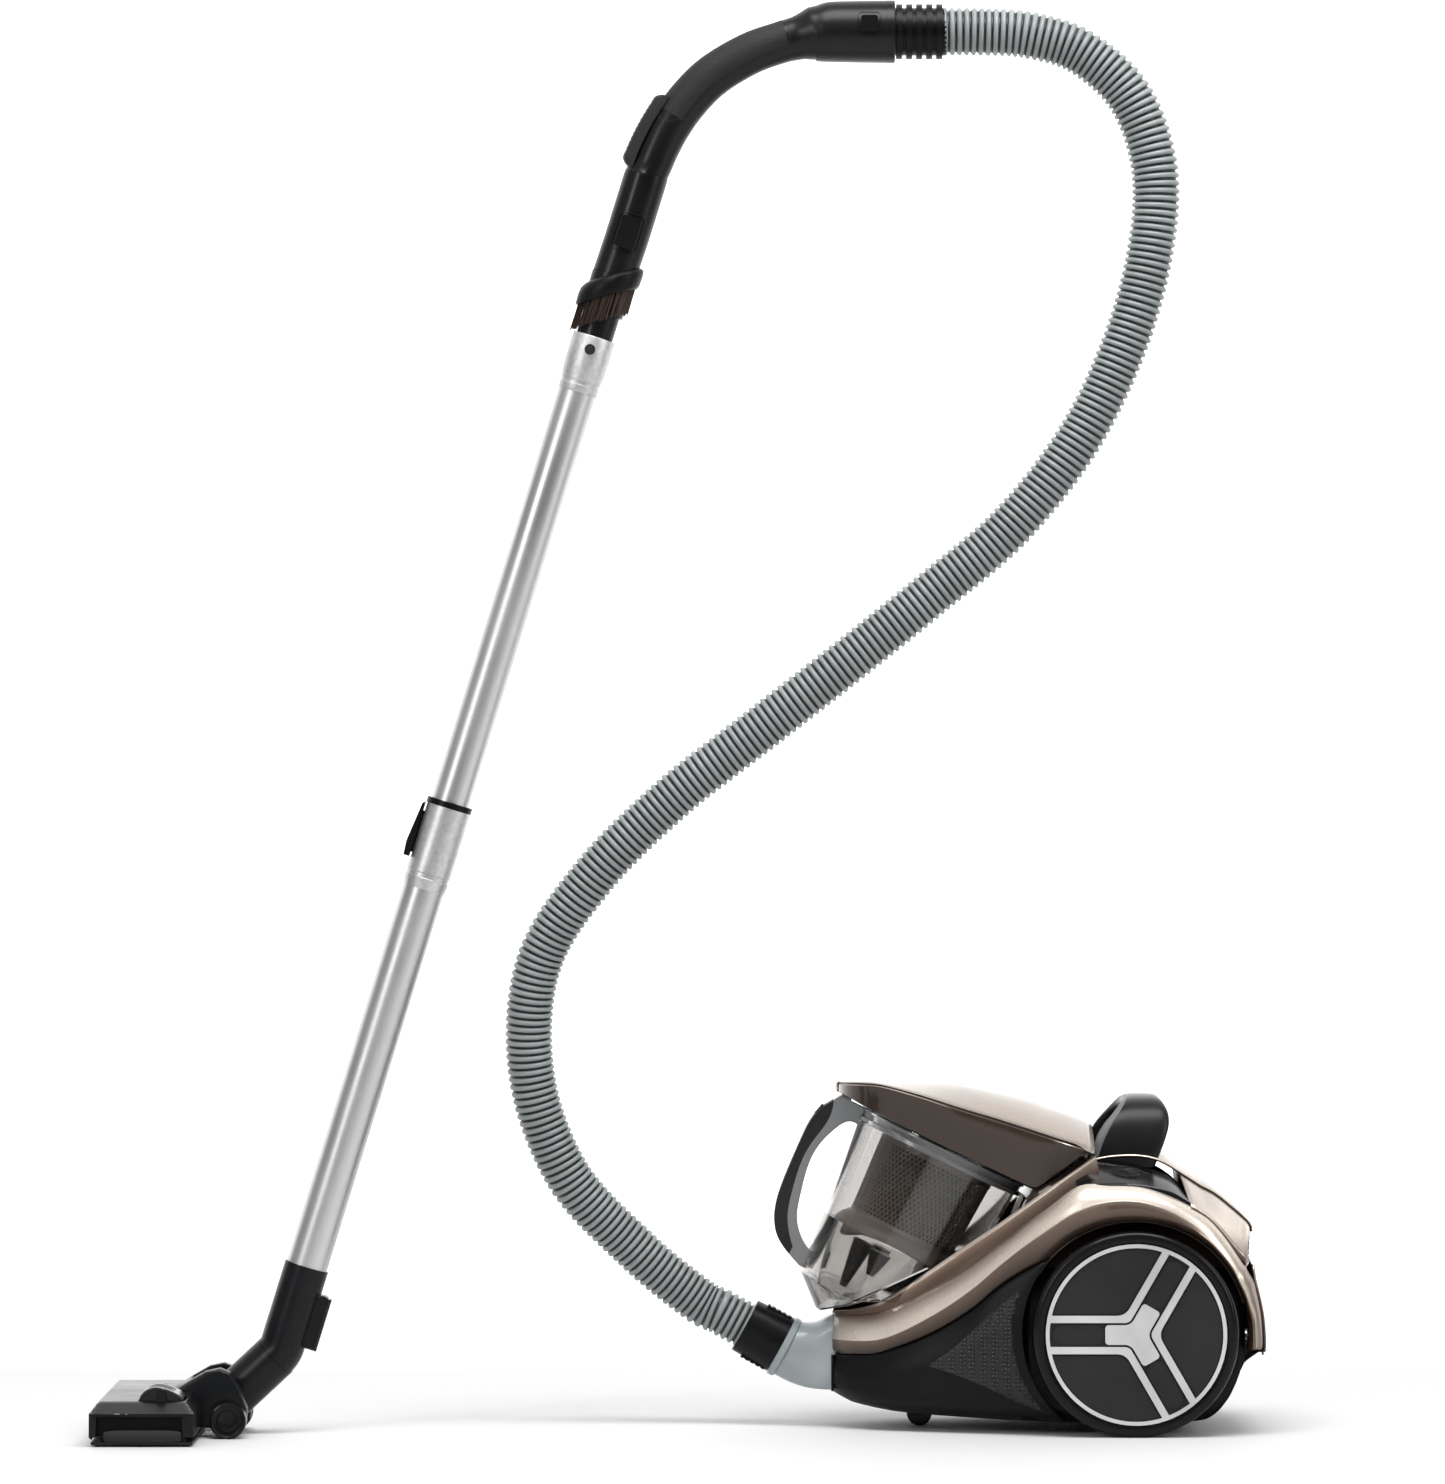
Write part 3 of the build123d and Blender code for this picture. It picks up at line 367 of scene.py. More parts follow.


# Tone stops of the metallic paints, by facing: the dark ones, SHADE among them, are painted shade and the
# light ones painted highlight.
SHADE = (0.022, 0.013, 0.009)
CHAMPAGNE = paint_with_painted_light("champagne paint with painted light", (0.34, 0.285, 0.24), (0.78, 0.69, 0.60), (0.165, 0.11, 0.08), SHADE,
                    0.33)
LID_PAINT = paint_with_painted_light("lid paint with painted light", (0.36, 0.30, 0.255), (0.62, 0.54, 0.46), (0.075, 0.05, 0.037),
                    (0.02, 0.012, 0.008), 0.33)
BAND_PAINT = paint_with_painted_light("band paint with painted light", (0.90, 0.82, 0.73), (0.74, 0.65, 0.56), (0.17, 0.115, 0.083), SHADE, 0.33,
                     "painted_light")
BLACK = plastic("black satin plastic", (0.0042, 0.0042, 0.0046), 0.36, gloss=0.14)
GLOSS = plastic("gloss black plastic", (0.004, 0.004, 0.0045), 0.2, 900, 0.03, 0.04, 0.0, 0.3)
INSERT = dimpled("dimpled black plastic", (0.021, 0.0195, 0.019), 0.4, 300, 1.0)
CLEAR = glassy("clear bin plastic", (0.66, 0.65, 0.64), 0.02)
SMOKE = glassy("smoky clear plastic", (0.22, 0.225, 0.23), 0.16)
SMOKE.node_tree.nodes["Principled BSDF"].inputs["Transmission Weight"].default_value = 0.45
TINT = glassy("grey tinted plastic", (0.60, 0.585, 0.57), 0.08, 1.2)
SHROUD = plastic("shroud plastic", (0.34, 0.29, 0.255), 0.3, 900, 0.06, 0.06, 0.2)
BROWN = plastic("dark brown plastic", (0.022, 0.013, 0.0095), 0.28, 900, 0.06, 0.06, 0.3)
FROST = plastic("frosted grey plastic", (0.33, 0.365, 0.375), 0.34, 700, 0.1, 0.06, 0.4)
SILVER = plastic("satin silver", (0.62, 0.62, 0.62), 0.38, 1200, 0.05, 0.05, 0.2, 0.5)
SILVER.node_tree.nodes["Principled BSDF"].inputs["Metallic"].default_value = 0.35
TYRE = plastic("glossy black tyre", (0.004, 0.004, 0.004), 0.28, 500, 0.06, 0.06, 0.12, 0.14)
INFILL = plastic("dark grey infill", (0.022, 0.022, 0.0225), 0.55, 1200, 0.15, gloss=0.15)
STEEL = metal("drawn steel", (0.62, 0.62, 0.62), 0.36, (40, 40, 0.6))
GRIP = dimpled("soft grip", (0.013, 0.0125, 0.0125), 0.5, 900, 0.3)
BRISTLE = plastic("bristle", (0.05, 0.032, 0.024), 0.55, 600, 0.2)
METAL = metal("machine steel", (0.5, 0.5, 0.5), 0.36, (1, 1, 1))
FOAM = plastic("foam", (0.05, 0.05, 0.055), 0.9, 300, 0.9, 0.03)
PAPER = plastic("filter paper", (0.75, 0.74, 0.70), 0.9, 500, 0.5, 0.03)
SEAL = plastic("rubber seal", (0.02, 0.02, 0.02), 0.7, 800, 0.2)
SATIN = plastic("satin black handle", (0.006, 0.0055, 0.0057), 0.3, 1500, 0.06, 0.05, 0.0, 0.24)
SATIN_STEEL = metal("satin grey metal", (0.62, 0.62, 0.62), 0.42, (1, 1, 1))
NOZZLE = plastic("nozzle plastic", (0.0055, 0.006, 0.007), 0.28, 1600, 0.1, 0.06, 0.0, 0.2)
VOID = plastic("black end panel", (0.0016, 0.0016, 0.0017), 0.5, 900, 0.05, 0.05, 0.0, 0.12)
# Grey for the painted highlight on the carry handle's front edge.
EDGE_HIGHLIGHT = plastic("grey painted edge highlight", (0.13, 0.13, 0.135), 0.4)
GREY = plastic("light grey plastic", (0.5, 0.5, 0.5), 0.4)

# Half of the canister's width along its length.
PLAN = [(-252, 33), (-245, 42), (-232, 54), (-200, 74), (-150, 94), (-100, 112), (-55, 124), (0, 129),
        (50, 128), (85, 120), (104, 110), (109.6, 102)]


def spread(points, x):
    """Smooth value at x through (x, value) points."""
    pts = [points[0], *points, points[-1]]
    if x <= points[0][0]:
        return points[0][1]
    if x >= points[-1][0]:
        return points[-1][1]
    for i in range(1, len(pts) - 2):
        (x0, y0), (x1, y1), (x2, y2), (x3, y3) = pts[i - 1:i + 3]
        if x1 <= x <= x2 and x2 > x1:
            t = (x - x1) / (x2 - x1)
            m1 = (y2 - y0) / (x2 - x0) * (x2 - x1)
            m2 = (y3 - y1) / (x3 - x1) * (x2 - x1)
            return ((2 * t ** 3 - 3 * t * t + 1) * y1 + (t ** 3 - 2 * t * t + t) * m1
                    + (3 * t * t - 2 * t ** 3) * y2 + (t ** 3 - t * t) * m2)
    return points[-1][1]


def arch(degrees, radius=ARCH_R):
    """Side-view point on a circle about the rear axle."""
    a = math.radians(degrees)
    return radius * math.cos(a), ARCH_Z + radius * math.sin(a)


def mirrored(rows):
    return [[Vector((p.x, 2 * MID_Y - p.y, p.z)) for p in row] for row in rows]


def both_sides(rows, **kw):
    """A skin on the near side and its mirror image on the far side."""
    return join(skin(rows, **kw), skin(mirrored(rows), **kw))


# Stations along the belt: upper edge, crease and lower edge in the side view.
BELT = [((-250, 95.9), (-252, 75.7), (-252, 62)), ((-232, 96.2), (-234, 75.4), (-234, 62.9)),
        ((-213, 99.3), (-215, 77), (-216, 64.6)), ((-196, 106.5), (-196, 84), (-195, 71)),
        ((-174, 118), (-174, 96), (-173, 80.5)), ((-154, 129.4), (-154, 108.6), (-153, 91.6)),
        ((-133, 144), (-133, 124.5), (-132, 106)), ((-112.5, 160.4), (-113, 142.4), (-111, 124)),
        ((-92, 176), (-94, 158), (-91.5, 137)), ((-72, 190.8), (-74, 172.5), arch(139)),
        ((-47, 209), (-50, 188), arch(123)), ((-22, 209.8), (-25, 196), arch(106)),
        ((5, 208.8), (2, 196.5), arch(90)), ((28, 201.5), (25, 190), arch(75)),
        ((47, 192), (44, 180), arch(62)), ((62.6, 182), (59, 168), arch(51)),
        ((74.6, 168), (71, 155), arch(41)), ((84.4, 154), (81, 142), arch(32)),
        ((93.4, 141), (88, 128), arch(23.5)), ((100, 131), (93, 118), arch(17)),
        ((103.4, 121), (96, 109), arch(12)), ((107.6, 101), (100, 97), arch(5)),
        ((109.3, 82), (101, 82), arch(-3)), ((109.3, 72), (101, 72), arch(-8.5))]
# How far the belt's upper edge stays inside PLAN, by station.
BELT_IN = [(0, 9), (2, 13), (9, 13), (12, 13), (14, 12), (17, 10), (19, 9)]
TAIL_TOP, TAIL_LOW, TAIL_HALF = 141, 72, 102    # the belt across the tail


def station(pairs, s):
    """Smooth point at s along a list of (x, z) points, one to each whole number."""
    return [spread([(i, p[k]) for i, p in enumerate(pairs)], s) for k in (0, 1)]


def belt_rows(refine=4):
    """Cross-sections of the near half of the belt, from its rolled-in lip down to the arch."""
    rows = []
    for n in range((len(BELT) - 1) * refine + 1):
        s = n / refine
        (tx, tz), (cx, cz), (bx, bz) = [station([b[k] for b in BELT], s) for k in (0, 1, 2)]
        inset = along(BELT_IN, s)
        out = spread(PLAN, min(cx, 100))
        tx -= along([(17.5, 0), (18.5, 1.2)], s)
        ty = min(spread(PLAN, tx) - inset, out - inset + 2)
        if s >= 18:
            ty = along([(18, out - 9), (20, 104), (23, 102)], s)
        by = out - along([(0, 7), (9, 9), (12, 5), (23, 5)], s)
        soft = along([(0, 0.0), (8, 0.0), (11, 1.0), (23, 1.0)], s)
        row = [(tx + 0.6, -(ty - 6), tz - 5.5), (tx + 0.3, -(ty - 3.2), tz - 1.2), (tx, -(ty - 1.2), tz),
               (tx + (cx - tx) * 0.05, -(ty + 0.3), tz - 0.5)]
        for f in (0.25, 0.5, 0.75, 0.94):
            bulge = 1.6 * math.sin(math.pi * f) * (1 + soft)
            row.append((tx + (cx - tx) * f, -(ty + (out - ty) * f + bulge), tz + (cz - tz) * f))
        row.append((cx, -(out + 0.3), cz))
        for f in (0.06, 0.35, 0.7, 0.97):
            bulge = 0.9 * math.sin(math.pi * f) + soft * 2.6 * math.sin(math.pi * f)
            row.append((cx + (bx - cx) * f, -(out + (by - out) * f + bulge), cz + (bz - cz) * f))
        row.append((bx, -(by - 1.5), bz))
        row.append((bx, -(by - 9), bz))
        rows.append([can(*p) for p in row])
    return rows


def rear_x(z):
    """The belt's rearmost x at a height."""
    return spread([(60, 108.6), (72, 109.3), (82, 109.3), (101, 107.6), (121, 103.4), (131, 101), (141, 100)],
                  z)


def side_band():
    """Belt with the swept band, the fenders and the tail; its mark attribute carries painted highlight along
    the crest and painted shade on the lower strip.
    """
    rows = belt_rows()
    heights = [TAIL_TOP - (TAIL_TOP - TAIL_LOW) * i / 14 for i in range(15)]
    places = [-TAIL_HALF + 2 * TAIL_HALF * j / 24 for j in range(25)]
    back = [[can(rear_x(z) - 0.012 * max(abs(y) - 92, 0) ** 2, y, z) for y in places] for z in heights]
    lip = [[can(rear_x(TAIL_LOW) - inward, y, TAIL_LOW + up) for y in places]
           for inward, up in ((0, 0), (1, -1.5), (7, -1))]
    obj = piece("side_band", *join(both_sides(rows), skin(back), skin(lip)), BAND_PAINT, "chassis",
                "champagne", ["side_band"], 28, shell(1.6))
    # Painted light across each section of the belt: painted highlight just above the crease, moving to the
    # upper edge over the fenders, and painted shade on the lower strip.
    across = [0.30, 0.34, 0.40, 0.46, 0.56, 0.70, 0.86, 0.97, 0.92, 0.52, 0.40, 0.28, 0.20, 0.18, 0.18]
    marks = []
    for n in range(len(rows)):
        turn = along([(30, 0.0), (44, 1.0), (60, 1.0), (76, 0.0)], n)
        tail = along([(60, 0.0), (92, 0.55)], n)
        for k, tone in enumerate(across):
            crest = along([(0, 0.5), (3, 0.86), (5, 0.95), (8, 0.72), (10, 0.45), (14, 0.2)], k)
            marks.append((tone * (1 - turn) + crest * turn) * (1 - tail) + 0.38 * tail)
    marks += marks
    # The tail is painted darker towards its bottom: painted shade.
    marks += [along([(TAIL_LOW, 0.24), (TAIL_TOP, 0.66)], z) for z in heights for y in places]
    marks += [0.2] * (len(obj.data.vertices) - len(marks))
    obj.data.attributes.new("painted_light", "FLOAT", "POINT").data.foreach_set("value", marks)


# Stations along the hood: its middle line and its edge in the side view.
HOOD = [((-42, 230.5), (-42, 207.5)), ((-20, 236), (-20, 208.8)), ((4, 237), (5, 208.6)),
        ((22, 233.4), (26, 202.5)), ((38.8, 223.2), (47, 192)), ((54.9, 213), (62.6, 182)),
        ((69.4, 203.7), (72, 171.5)), ((86.4, 190), (82, 158)), ((95, 182), (88, 150)),
        ((100.4, 175), (92, 145)), ((101.6, 168.4), (93.4, 142)), ((100.8, 156), (93.4, 141.5)),
        ((100.2, 143.6), (93.4, 141)), ((100, 141), (93.4, 140.6))]
DECK_Y = 66                         # where the hood's middle meets the decks
GRILLE = (10.02, 11.98)             # first and last station of the exhaust grille


def hood_point(s, y):
    """Point of the hood at station s and y from the middle plane."""
    (hx, hz), (ex, ez) = [station([h[k] for h in HOOD], s) for k in (0, 1)]
    wide = spread(PLAN, ex) - 9.5
    v = min(abs(y) / wide, 1)
    power = along([(0, 2.4), (5, 2.6), (8, 5), (10, 9), (13, 9)], s)
    return can(ex + (hx - ex) * (1 - v ** 2.6), y, ez + (hz - ez) * (1 - v ** power)), wide


def rear_cover():
    """Domed hood: the middle runs forward between the decks, the back wraps round to the fenders."""
    inner, outer = [], []
    for n in range(53):
        s = n / 4
        wide = hood_point(s, 0)[1]
        inner.append([hood_point(s, -DECK_Y + 2 * DECK_Y * j / 32)[0] for j in range(33)])
        if s >= 4:
            outer.append([hood_point(s, -(DECK_Y + (wide - DECK_Y) * j / 10))[0] for j in range(11)])
    parts = [skin(inner[:41]), skin(inner[48:]), both_sides(outer[:25]), both_sides(outer[32:])]
    parts.append(both_sides([row[8:] for row in outer[24:33]]))
    front = [inner[0], [Vector((p.x, p.y, 0.196)) for p in inner[0]]]
    piece("rear_cover", *join(*parts, skin(front)), CHAMPAGNE, "chassis", "champagne", ["rear_cover"], 35,
          shell(1.8))


def exhaust_grille():
    """Louvres across the hood's back, wrapping forward round both corners."""
    def sunk(s, reach, part, depth):
        """Point of the hood at part of the grille's reach towards the fender, sunk by depth."""
        wide = hood_point(s, 0)[1]
        p = hood_point(s, (DECK_Y + (wide - DECK_Y) * reach) * part)[0]
        return Vector((p.x - depth / 1000, p.y, p.z))

    def louvre(*levels):
        return skin([[sunk(s, 0.795, j / 32 - 1, depth) for j in range(65)] for s, depth in levels])

    first, last = GRILLE
    parts = [louvre(*[(first + 1.96 * i / 10, 4.2) for i in range(11)])]
    for k in range(6):
        s = 10.16 + 0.31 * k
        parts.append(louvre((s, 4.4), (s + 0.02, 0.5), (s + 0.05, 0.1), (s + 0.13, 0.5), (s + 0.15, 4.4)))
    for edge, inward in ((first, 0.07), (last, -0.07)):
        parts.append(louvre((edge, 4.2), (edge, 0.2), (edge + inward, 0.0), (edge + 1.5 * inward, 4.2)))
    cheek = ((0.745, 4.2), (0.75, 0.3), (0.795, 0.1), (0.797, 4.2))
    parts.append(both_sides([[sunk(first + 1.96 * i / 8, reach, -1, depth) for reach, depth in cheek]
                             for i in range(9)]))
    piece("exhaust_grille", *join(*parts), BLACK, "grille", "black_shell", ["exhaust_grille"], 35)


DECK_TOP = [(-54, 225.5), (-40, 227), (-14, 227), (6, 223.6), (26, 217), (38, 209.5), (47, 201)]
DECK_LOW = [(-54, 204), (-46, 207.6), (-30, 210.2), (5, 210), (30, 204.2), (47, 194.6)]


def control_deck():
    """Gloss panels on both shoulders: a faceted front, a sloping top and a dished button seat."""
    rows = []
    for i in range(45):
        f = i / 44
        row = []
        for j in range(23):
            v = j / 22
            x = -53 + 7 * v + (99.6 - 7 * v) * f
            wide = spread(PLAN, x) - 13.2
            y = 66.6 + (wide - 66.6) * v
            z = spread(DECK_TOP, x) * (1 - v) + spread(DECK_LOW, x) * v + 1.6 * math.sin(math.pi * v)
            z -= 5.5 * max(0, 1 - f / 0.11) * (0.35 + 0.65 * v)
            away = math.hypot(x + 5, (y - 92) * 1.05)
            if away < 14:
                z -= 1.1 * (1 - (away / 14) ** 4)
            row.append(can(x, -y, z))
        outer = row[-1]
        inside = row[0]
        rows.append([Vector((inside.x, inside.y, inside.z - 0.006)),
                     Vector((inside.x, inside.y, inside.z - 0.0006)), *row,
                     Vector((outer.x, outer.y - 0.0007, outer.z - 0.0008)),
                     Vector((outer.x, outer.y - 0.0008, outer.z - 0.006))])
    front = [Vector((p.x + 0.002, p.y, p.z - 0.012)) for p in rows[0]]
    rear = [Vector((p.x + 0.0003, p.y, p.z - 0.006)) for p in rows[-1]]
    piece("control_deck", *both_sides([front] + rows + [rear]), GLOSS, "chassis", "gloss_black",
          ["control_deck"], 26)


def control_buttons():
    """Round dished keys with a fine ring, one on each deck."""
    for name, joint in (("power_button", "power_press"), ("rewind_button", "rewind_press")):
        normal = -Vector(joints[joint]["axis"]).normalized()
        if normal.z < 0:
            normal = -normal
        low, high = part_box(name)
        middle = (Vector(low) + Vector(high)) / 2
        ahead = Vector((1, 0, 0))
        lateral = normal.cross(ahead).normalized()
        top = middle + normal * 0.0036
        rows = []
        for r, z in ((9.4, -5), (9.4, 0.2), (9.0, 0.9), (8.2, 1.0), (7.8, 0.6), (5, 0.25), (0.2, 0.1)):
            rows.append([top + normal * (z / 1000)
                         + (ahead * math.cos(a) + lateral * math.sin(a)) * (r / 1000) for a in turn(48)])
        piece(name, *skin(rows, closed=True), SATIN, joints[joint]["child"], "gloss_black", [name], 40)


LID_TOP = [(-246, 290.4), (-228, 292), (-177, 289.2), (-143, 287), (-109, 280), (-83.6, 273.4),
           (-66.6, 267.4), (-49.6, 261.5), (-32.6, 254.7)]
LID_CREASE = [(-246, 290.0), (-230, 291.0), (-212.8, 290.6), (-179.2, 282.1), (-145.6, 271.2),
              (-112, 261.1), (-78.4, 250.2), (-44.8, 239.3), (-33, 236)]
LID_LOW = [(-250, 286), (-240, 281), (-224.3, 272.4), (-162.1, 241.3), (-94.8, 209.4), (-82.2, 203.5),
           (-77, 206), (-41, 235)]


def lid_half(x):
    """Half of the lid's width at its crease."""
    if x < -150:
        return 85 * (1 - min((-150 - x) / 96.6, 1) ** 2.3) ** (1 / 2.3)
    return along([(-150, 85), (-33, 88)], x)


def bin_lid():
    """Champagne lid: a crowned top and side walls that reach down beside the bin."""
    rows, walls = [], []
    stations = [-246.5 + 96.5 * (1 - math.cos(math.pi / 2 * i / 18)) for i in range(19)]
    stations += [-150 + 117 * i / 20 for i in range(1, 21)]
    for x in stations:
        wide, top, crease = lid_half(x), spread(LID_TOP, x), spread(LID_CREASE, x)
        rows.append([can(x, wide * (j / 16 - 1), crease + (top - crease) * (1 - abs(j / 16 - 1) ** 2.1))
                     for j in range(33)])
    for x in stations[1:]:
        wide, crease = lid_half(x), spread(LID_CREASE, x)
        low = min(along(LID_LOW, x), crease - 3)
        reach = 8 * min(1, (crease - low) / 30)
        wall = [can(x, -wide, crease)]
        for f, out in ((0.03, 0.5), (0.3, 0.5), (0.6, 0), (0.97, 0), (1.0, -2)):
            wall.append(can(x - 0.02 * (crease - low) * f, -(wide - reach * f ** 1.2 + out),
                            crease + (low - crease) * f))
        walls.append(wall)
    piece("bin_lid", *join(skin(rows), both_sides(walls)), LID_PAINT, "lid", "champagne", ["bin_lid"], 30,
          [("WELD", {"merge_threshold": 0.0001})] + shell(2))


FLANK_X = (-252, -57.5, -72)        # nose, and the arch's ends below and above
WELL_Y = 97.5                       # inner wall of the wheel arch
LOW_LINE = [(-252, 31), (-240, 25), (-229, 21.5), (-195, 16.5), (-130, 13.5), (-60, 11.5)]
BELT_LOW = [low for _, _, low in BELT[:10]]
BELT_TOP = [top for top, _, _ in BELT]


def flank_point(u, v, out=0.0):
    """Point of the near flank between nose, belt, belly and wheel arch (a Coons patch), moved outwards."""
    nose, arch_low, arch_top = FLANK_X

    def low(u):
        x = nose + u * (arch_low - nose)
        return Vector((x, 0, spread(LOW_LINE, x)))

    def top(u):
        x = nose + u * (arch_top - nose)
        return Vector((x, 0, spread(BELT_LOW, x) - 0.3))

    x, z = arch(232.5 - 92.5 * v, 95)
    p = (1 - v) * low(u) + v * top(u) + (1 - u) * low(0).lerp(top(0), v) + u * Vector((x, 0, z))
    p -= (1 - u) * (1 - v) * low(0) + u * (1 - v) * low(1) + (1 - u) * v * top(0) + u * v * top(1)
    roll = 22 * (1 - min(v / 0.30, 1)) ** 2.2 + 5.5 * max(v - 0.62, 0) / 0.38 + 1.5
    return can(p.x, -(spread(PLAN, p.x) - roll + out), p.z)


def lower_flank():
    """Rows of the near flank, ending with the return into the wheel arch."""
    rows = [[flank_point(i / 32, j / 20) for j in range(21)] for i in range(33)]
    rows.append([Vector((p.x, max(p.y, MID_Y - WELL_Y / 1000), p.z)) for p in rows[-1]])
    return rows


def side_inserts():
    """Dimpled triangular panels let into the flanks in front of the wheels."""
    tip, high, low = Vector((0.50, 0.60)), Vector((0.955, 0.87)), Vector((0.965, 0.05))
    rows = []
    for i in range(29):
        f = i / 28
        row = []
        for j in range(25):
            q = tip.lerp(high.lerp(low, j / 24), max(f, 0.02))
            edge = min(i, 28 - i, j, 24 - j)
            row.append(flank_point(q.x, q.y, 2.2 if edge >= 1 else 0.4))
        rows.append(row)
    piece("side_inserts", *both_sides(rows), INSERT, "chassis", "dark_insert", ["side_inserts"], 40)


def lower_shell():
    """Black shell: flanks, belly, the wheel arches' inner walls and the nose."""
    belly = []
    line = LOW_LINE + [(0, 11.5), (50, 12), (66, 17), (77, 29), (83, 40), (87, 50), (91, 60), (104, 70)]
    for i in range(70):
        s = i / 69 * (len(line) - 1)
        x, z = station(line, s)
        wide = spread(PLAN, x) - 23.5 if x < -57.5 else 97
        belly.append([can(x, wide * (j / 10 - 1), z) for j in range(21)])
    well = []
    for i in range(25):
        x = -94 + 187 * i / 24
        z = along(line[4:], x)
        well.append([can(x, -97.3, z + (140 - z) * f) for f in (0, 0.1, 0.5, 1)])
    nose = [[can(-252, y, 31 + 30.7 * f) for y in (-33, -26)] for f in (0, 0.5, 1)]
    verts, faces = join(both_sides(lower_flank()), skin(belly), both_sides(well), both_sides(nose))
    piece("lower_shell", verts, faces, BLACK, "chassis", "black_shell", ["lower_shell"], 30, shell(2, 0))


def cradle():
    """Deck the bin rests on, and the liners and inner walls of the wheel arches."""
    deck = []
    for n in range(41):
        s = n / 4
        x, z = station(BELT_TOP, s)
        wide = spread(PLAN, x) - along(BELT_IN, s) - 7
        deck.append([can(x + 3, wide * (j / 8 - 1), z - 6) for j in range(17)])
    liners = []
    for i in range(33):
        x, z = arch(150 - 135 * i / 32, 93.8)
        wide = spread(PLAN, max(x, -100)) - 8
        liners.append([can(x, -97.6, z), can(x, -wide, z)])
    walls = []
    for i in range(33):
        x, z = arch(146 - 125 * i / 32, 93.8)
        walls.append([can(x, -WELL_Y, 118), can(x, -WELL_Y, z)])
    verts, faces = join(skin(deck), both_sides(liners), both_sides(walls))
    piece("cradle", verts, faces, BROWN, "chassis", "brown_plastic", ["cradle"], 30, shell(1.4, 0))


BAY = [(-106, 158), (-99, 172), (-82.5, 205), (-70, 209), (-46, 226), (-38, 231)]


def bay_wall():
    """Bulkhead behind the bin with its side returns, closing the bay below the lid."""
    line = smooth_line([(x, 0, z) for x, z in BAY], 24)
    wall = [[can(p.x, 77 * (j / 8 - 1), p.z) for j in range(17)] for p in line]
    sides = [[can(p.x, -77, p.z), can(p.x, -77, spread(BELT_TOP[:12], p.x) - 10)] for p in line]
    grille = []
    for k in range(7):
        y = -33 + 11 * k
        a, b = line[3], line[9]
        grille.append(skin([[can(a.x - 1.6, y - 2, a.z), can(a.x - 1.6, y + 2, a.z)],
                            [can(b.x - 1.6, y - 2, b.z), can(b.x - 1.6, y + 2, b.z)]]))
    piece("bay_wall", *join(skin(wall), both_sides(sides), *grille), BROWN, "chassis", "brown_plastic", (),
          40, shell(1.2, 0))


HOOP = [(59.5, 222), (59.2, 234), (57, 246), (53, 257), (46.5, 266), (37, 272), (24, 274.6), (8, 275.2),
        (0, 275.2)]
HOOP_FRONT = [(222, -40), (234, -36), (246, -31), (257, -24), (266, -15.5), (272, -9.5), (275.2, -6)]
HOOP_REAR = [(222, 19), (234, 24), (246, 28.6), (257, 31.6), (266, 31.4), (272, 28.5), (275.2, 25.5)]


def carry_handle():
    """Arched hoop with rounded edges: wide cheeks that narrow into the hand grip."""
    half = smooth_line([(0, y, z) for y, z in HOOP], 30)
    line = [Vector((0, -p.y, p.z)) for p in half] + [Vector((0, p.y, p.z)) for p in reversed(half[:-1])]
    rows = []
    for i, p in enumerate(line):
        step = (line[min(i + 1, len(line) - 1)] - line[max(i - 1, 0)]).normalized()
        out = Vector((0, -step.z, step.y))
        front, rear = spread(HOOP_FRONT, p.z), spread(HOOP_REAR, p.z)
        thick = along([(222, 4.6), (250, 5.2), (275, 6.2)], p.z)
        row = []
        for a in turn(40):
            ca, sa = math.cos(a), math.sin(a)
            u = math.copysign(abs(ca) ** (2 / 4.5), ca) * (rear - front) / 2
            v = math.copysign(abs(sa) ** (2 / 2.6), sa) * thick
            q = Vector(((front + rear) / 2 + u, p.y, p.z)) + out * v
            row.append(can(*q))
        rows.append(row)
    piece("carry_handle", *skin(rows, closed=True), SATIN, "chassis", "black_shell", ["carry_handle"], 50)
    # A thin grey strip laid along the front edge: a painted highlight on the handle's rim.
    edge_highlight = []
    for row in rows:
        edge_highlight.append([row[k] + (row[k] - sum(row, Vector()) / 40) * 0.012 for k in (13, 14, 15, 16, 17)])
    piece("handle_edge_highlight", *skin(edge_highlight), EDGE_HIGHLIGHT, "chassis", "silver", (), 50, shell(0.6, 1))


SILL = [(-250, 98), (-232, 100.5), (-214, 106), (-196, 116), (-175, 131), (-148, 150), (-112, 175),
        (-79, 199), (-32, 232)]


def bin_sill():
    """Bronze sill that climbs beside the bin to the hood's front corner."""
    rows = []
    for i in range(33):
        x = -250 + 218 * i / 32
        z = spread(SILL, x)
        wide = spread(PLAN, x) - along([(-250, 12), (-200, 20), (-150, 26), (-32, 34)], x)
        low = z - 18
        rows.append([can(x + 4, -(wide + 1.2), low), can(x + 0.7, -(wide + 1), z - 2), can(x, -wide, z),
                     can(x - 0.8, -(wide - 2.4), z + 0.6), can(x - 0.3, -(wide - 5), z - 0.6),
                     can(x + 4, -(wide - 5.4), low)])
    piece("bin_sill", *both_sides(rows), CHAMPAGNE, "chassis", "champagne", (), 40)


def in_bin(angle, radius, down):
    """Point of the bin from its axis: angle from the rear, radius and depth below the rim in millimetres."""
    base = can(BIN_AT[0], 0, BIN_AT[1])
    axis = Vector((math.sin(BIN_TILT), 0, math.cos(BIN_TILT)))
    lateral = Vector((math.cos(BIN_TILT), 0, -math.sin(BIN_TILT)))
    outward = lateral * math.cos(angle) + ACROSS * math.sin(angle)
    return base - axis * (down / 1000) + outward * (radius / 1000)


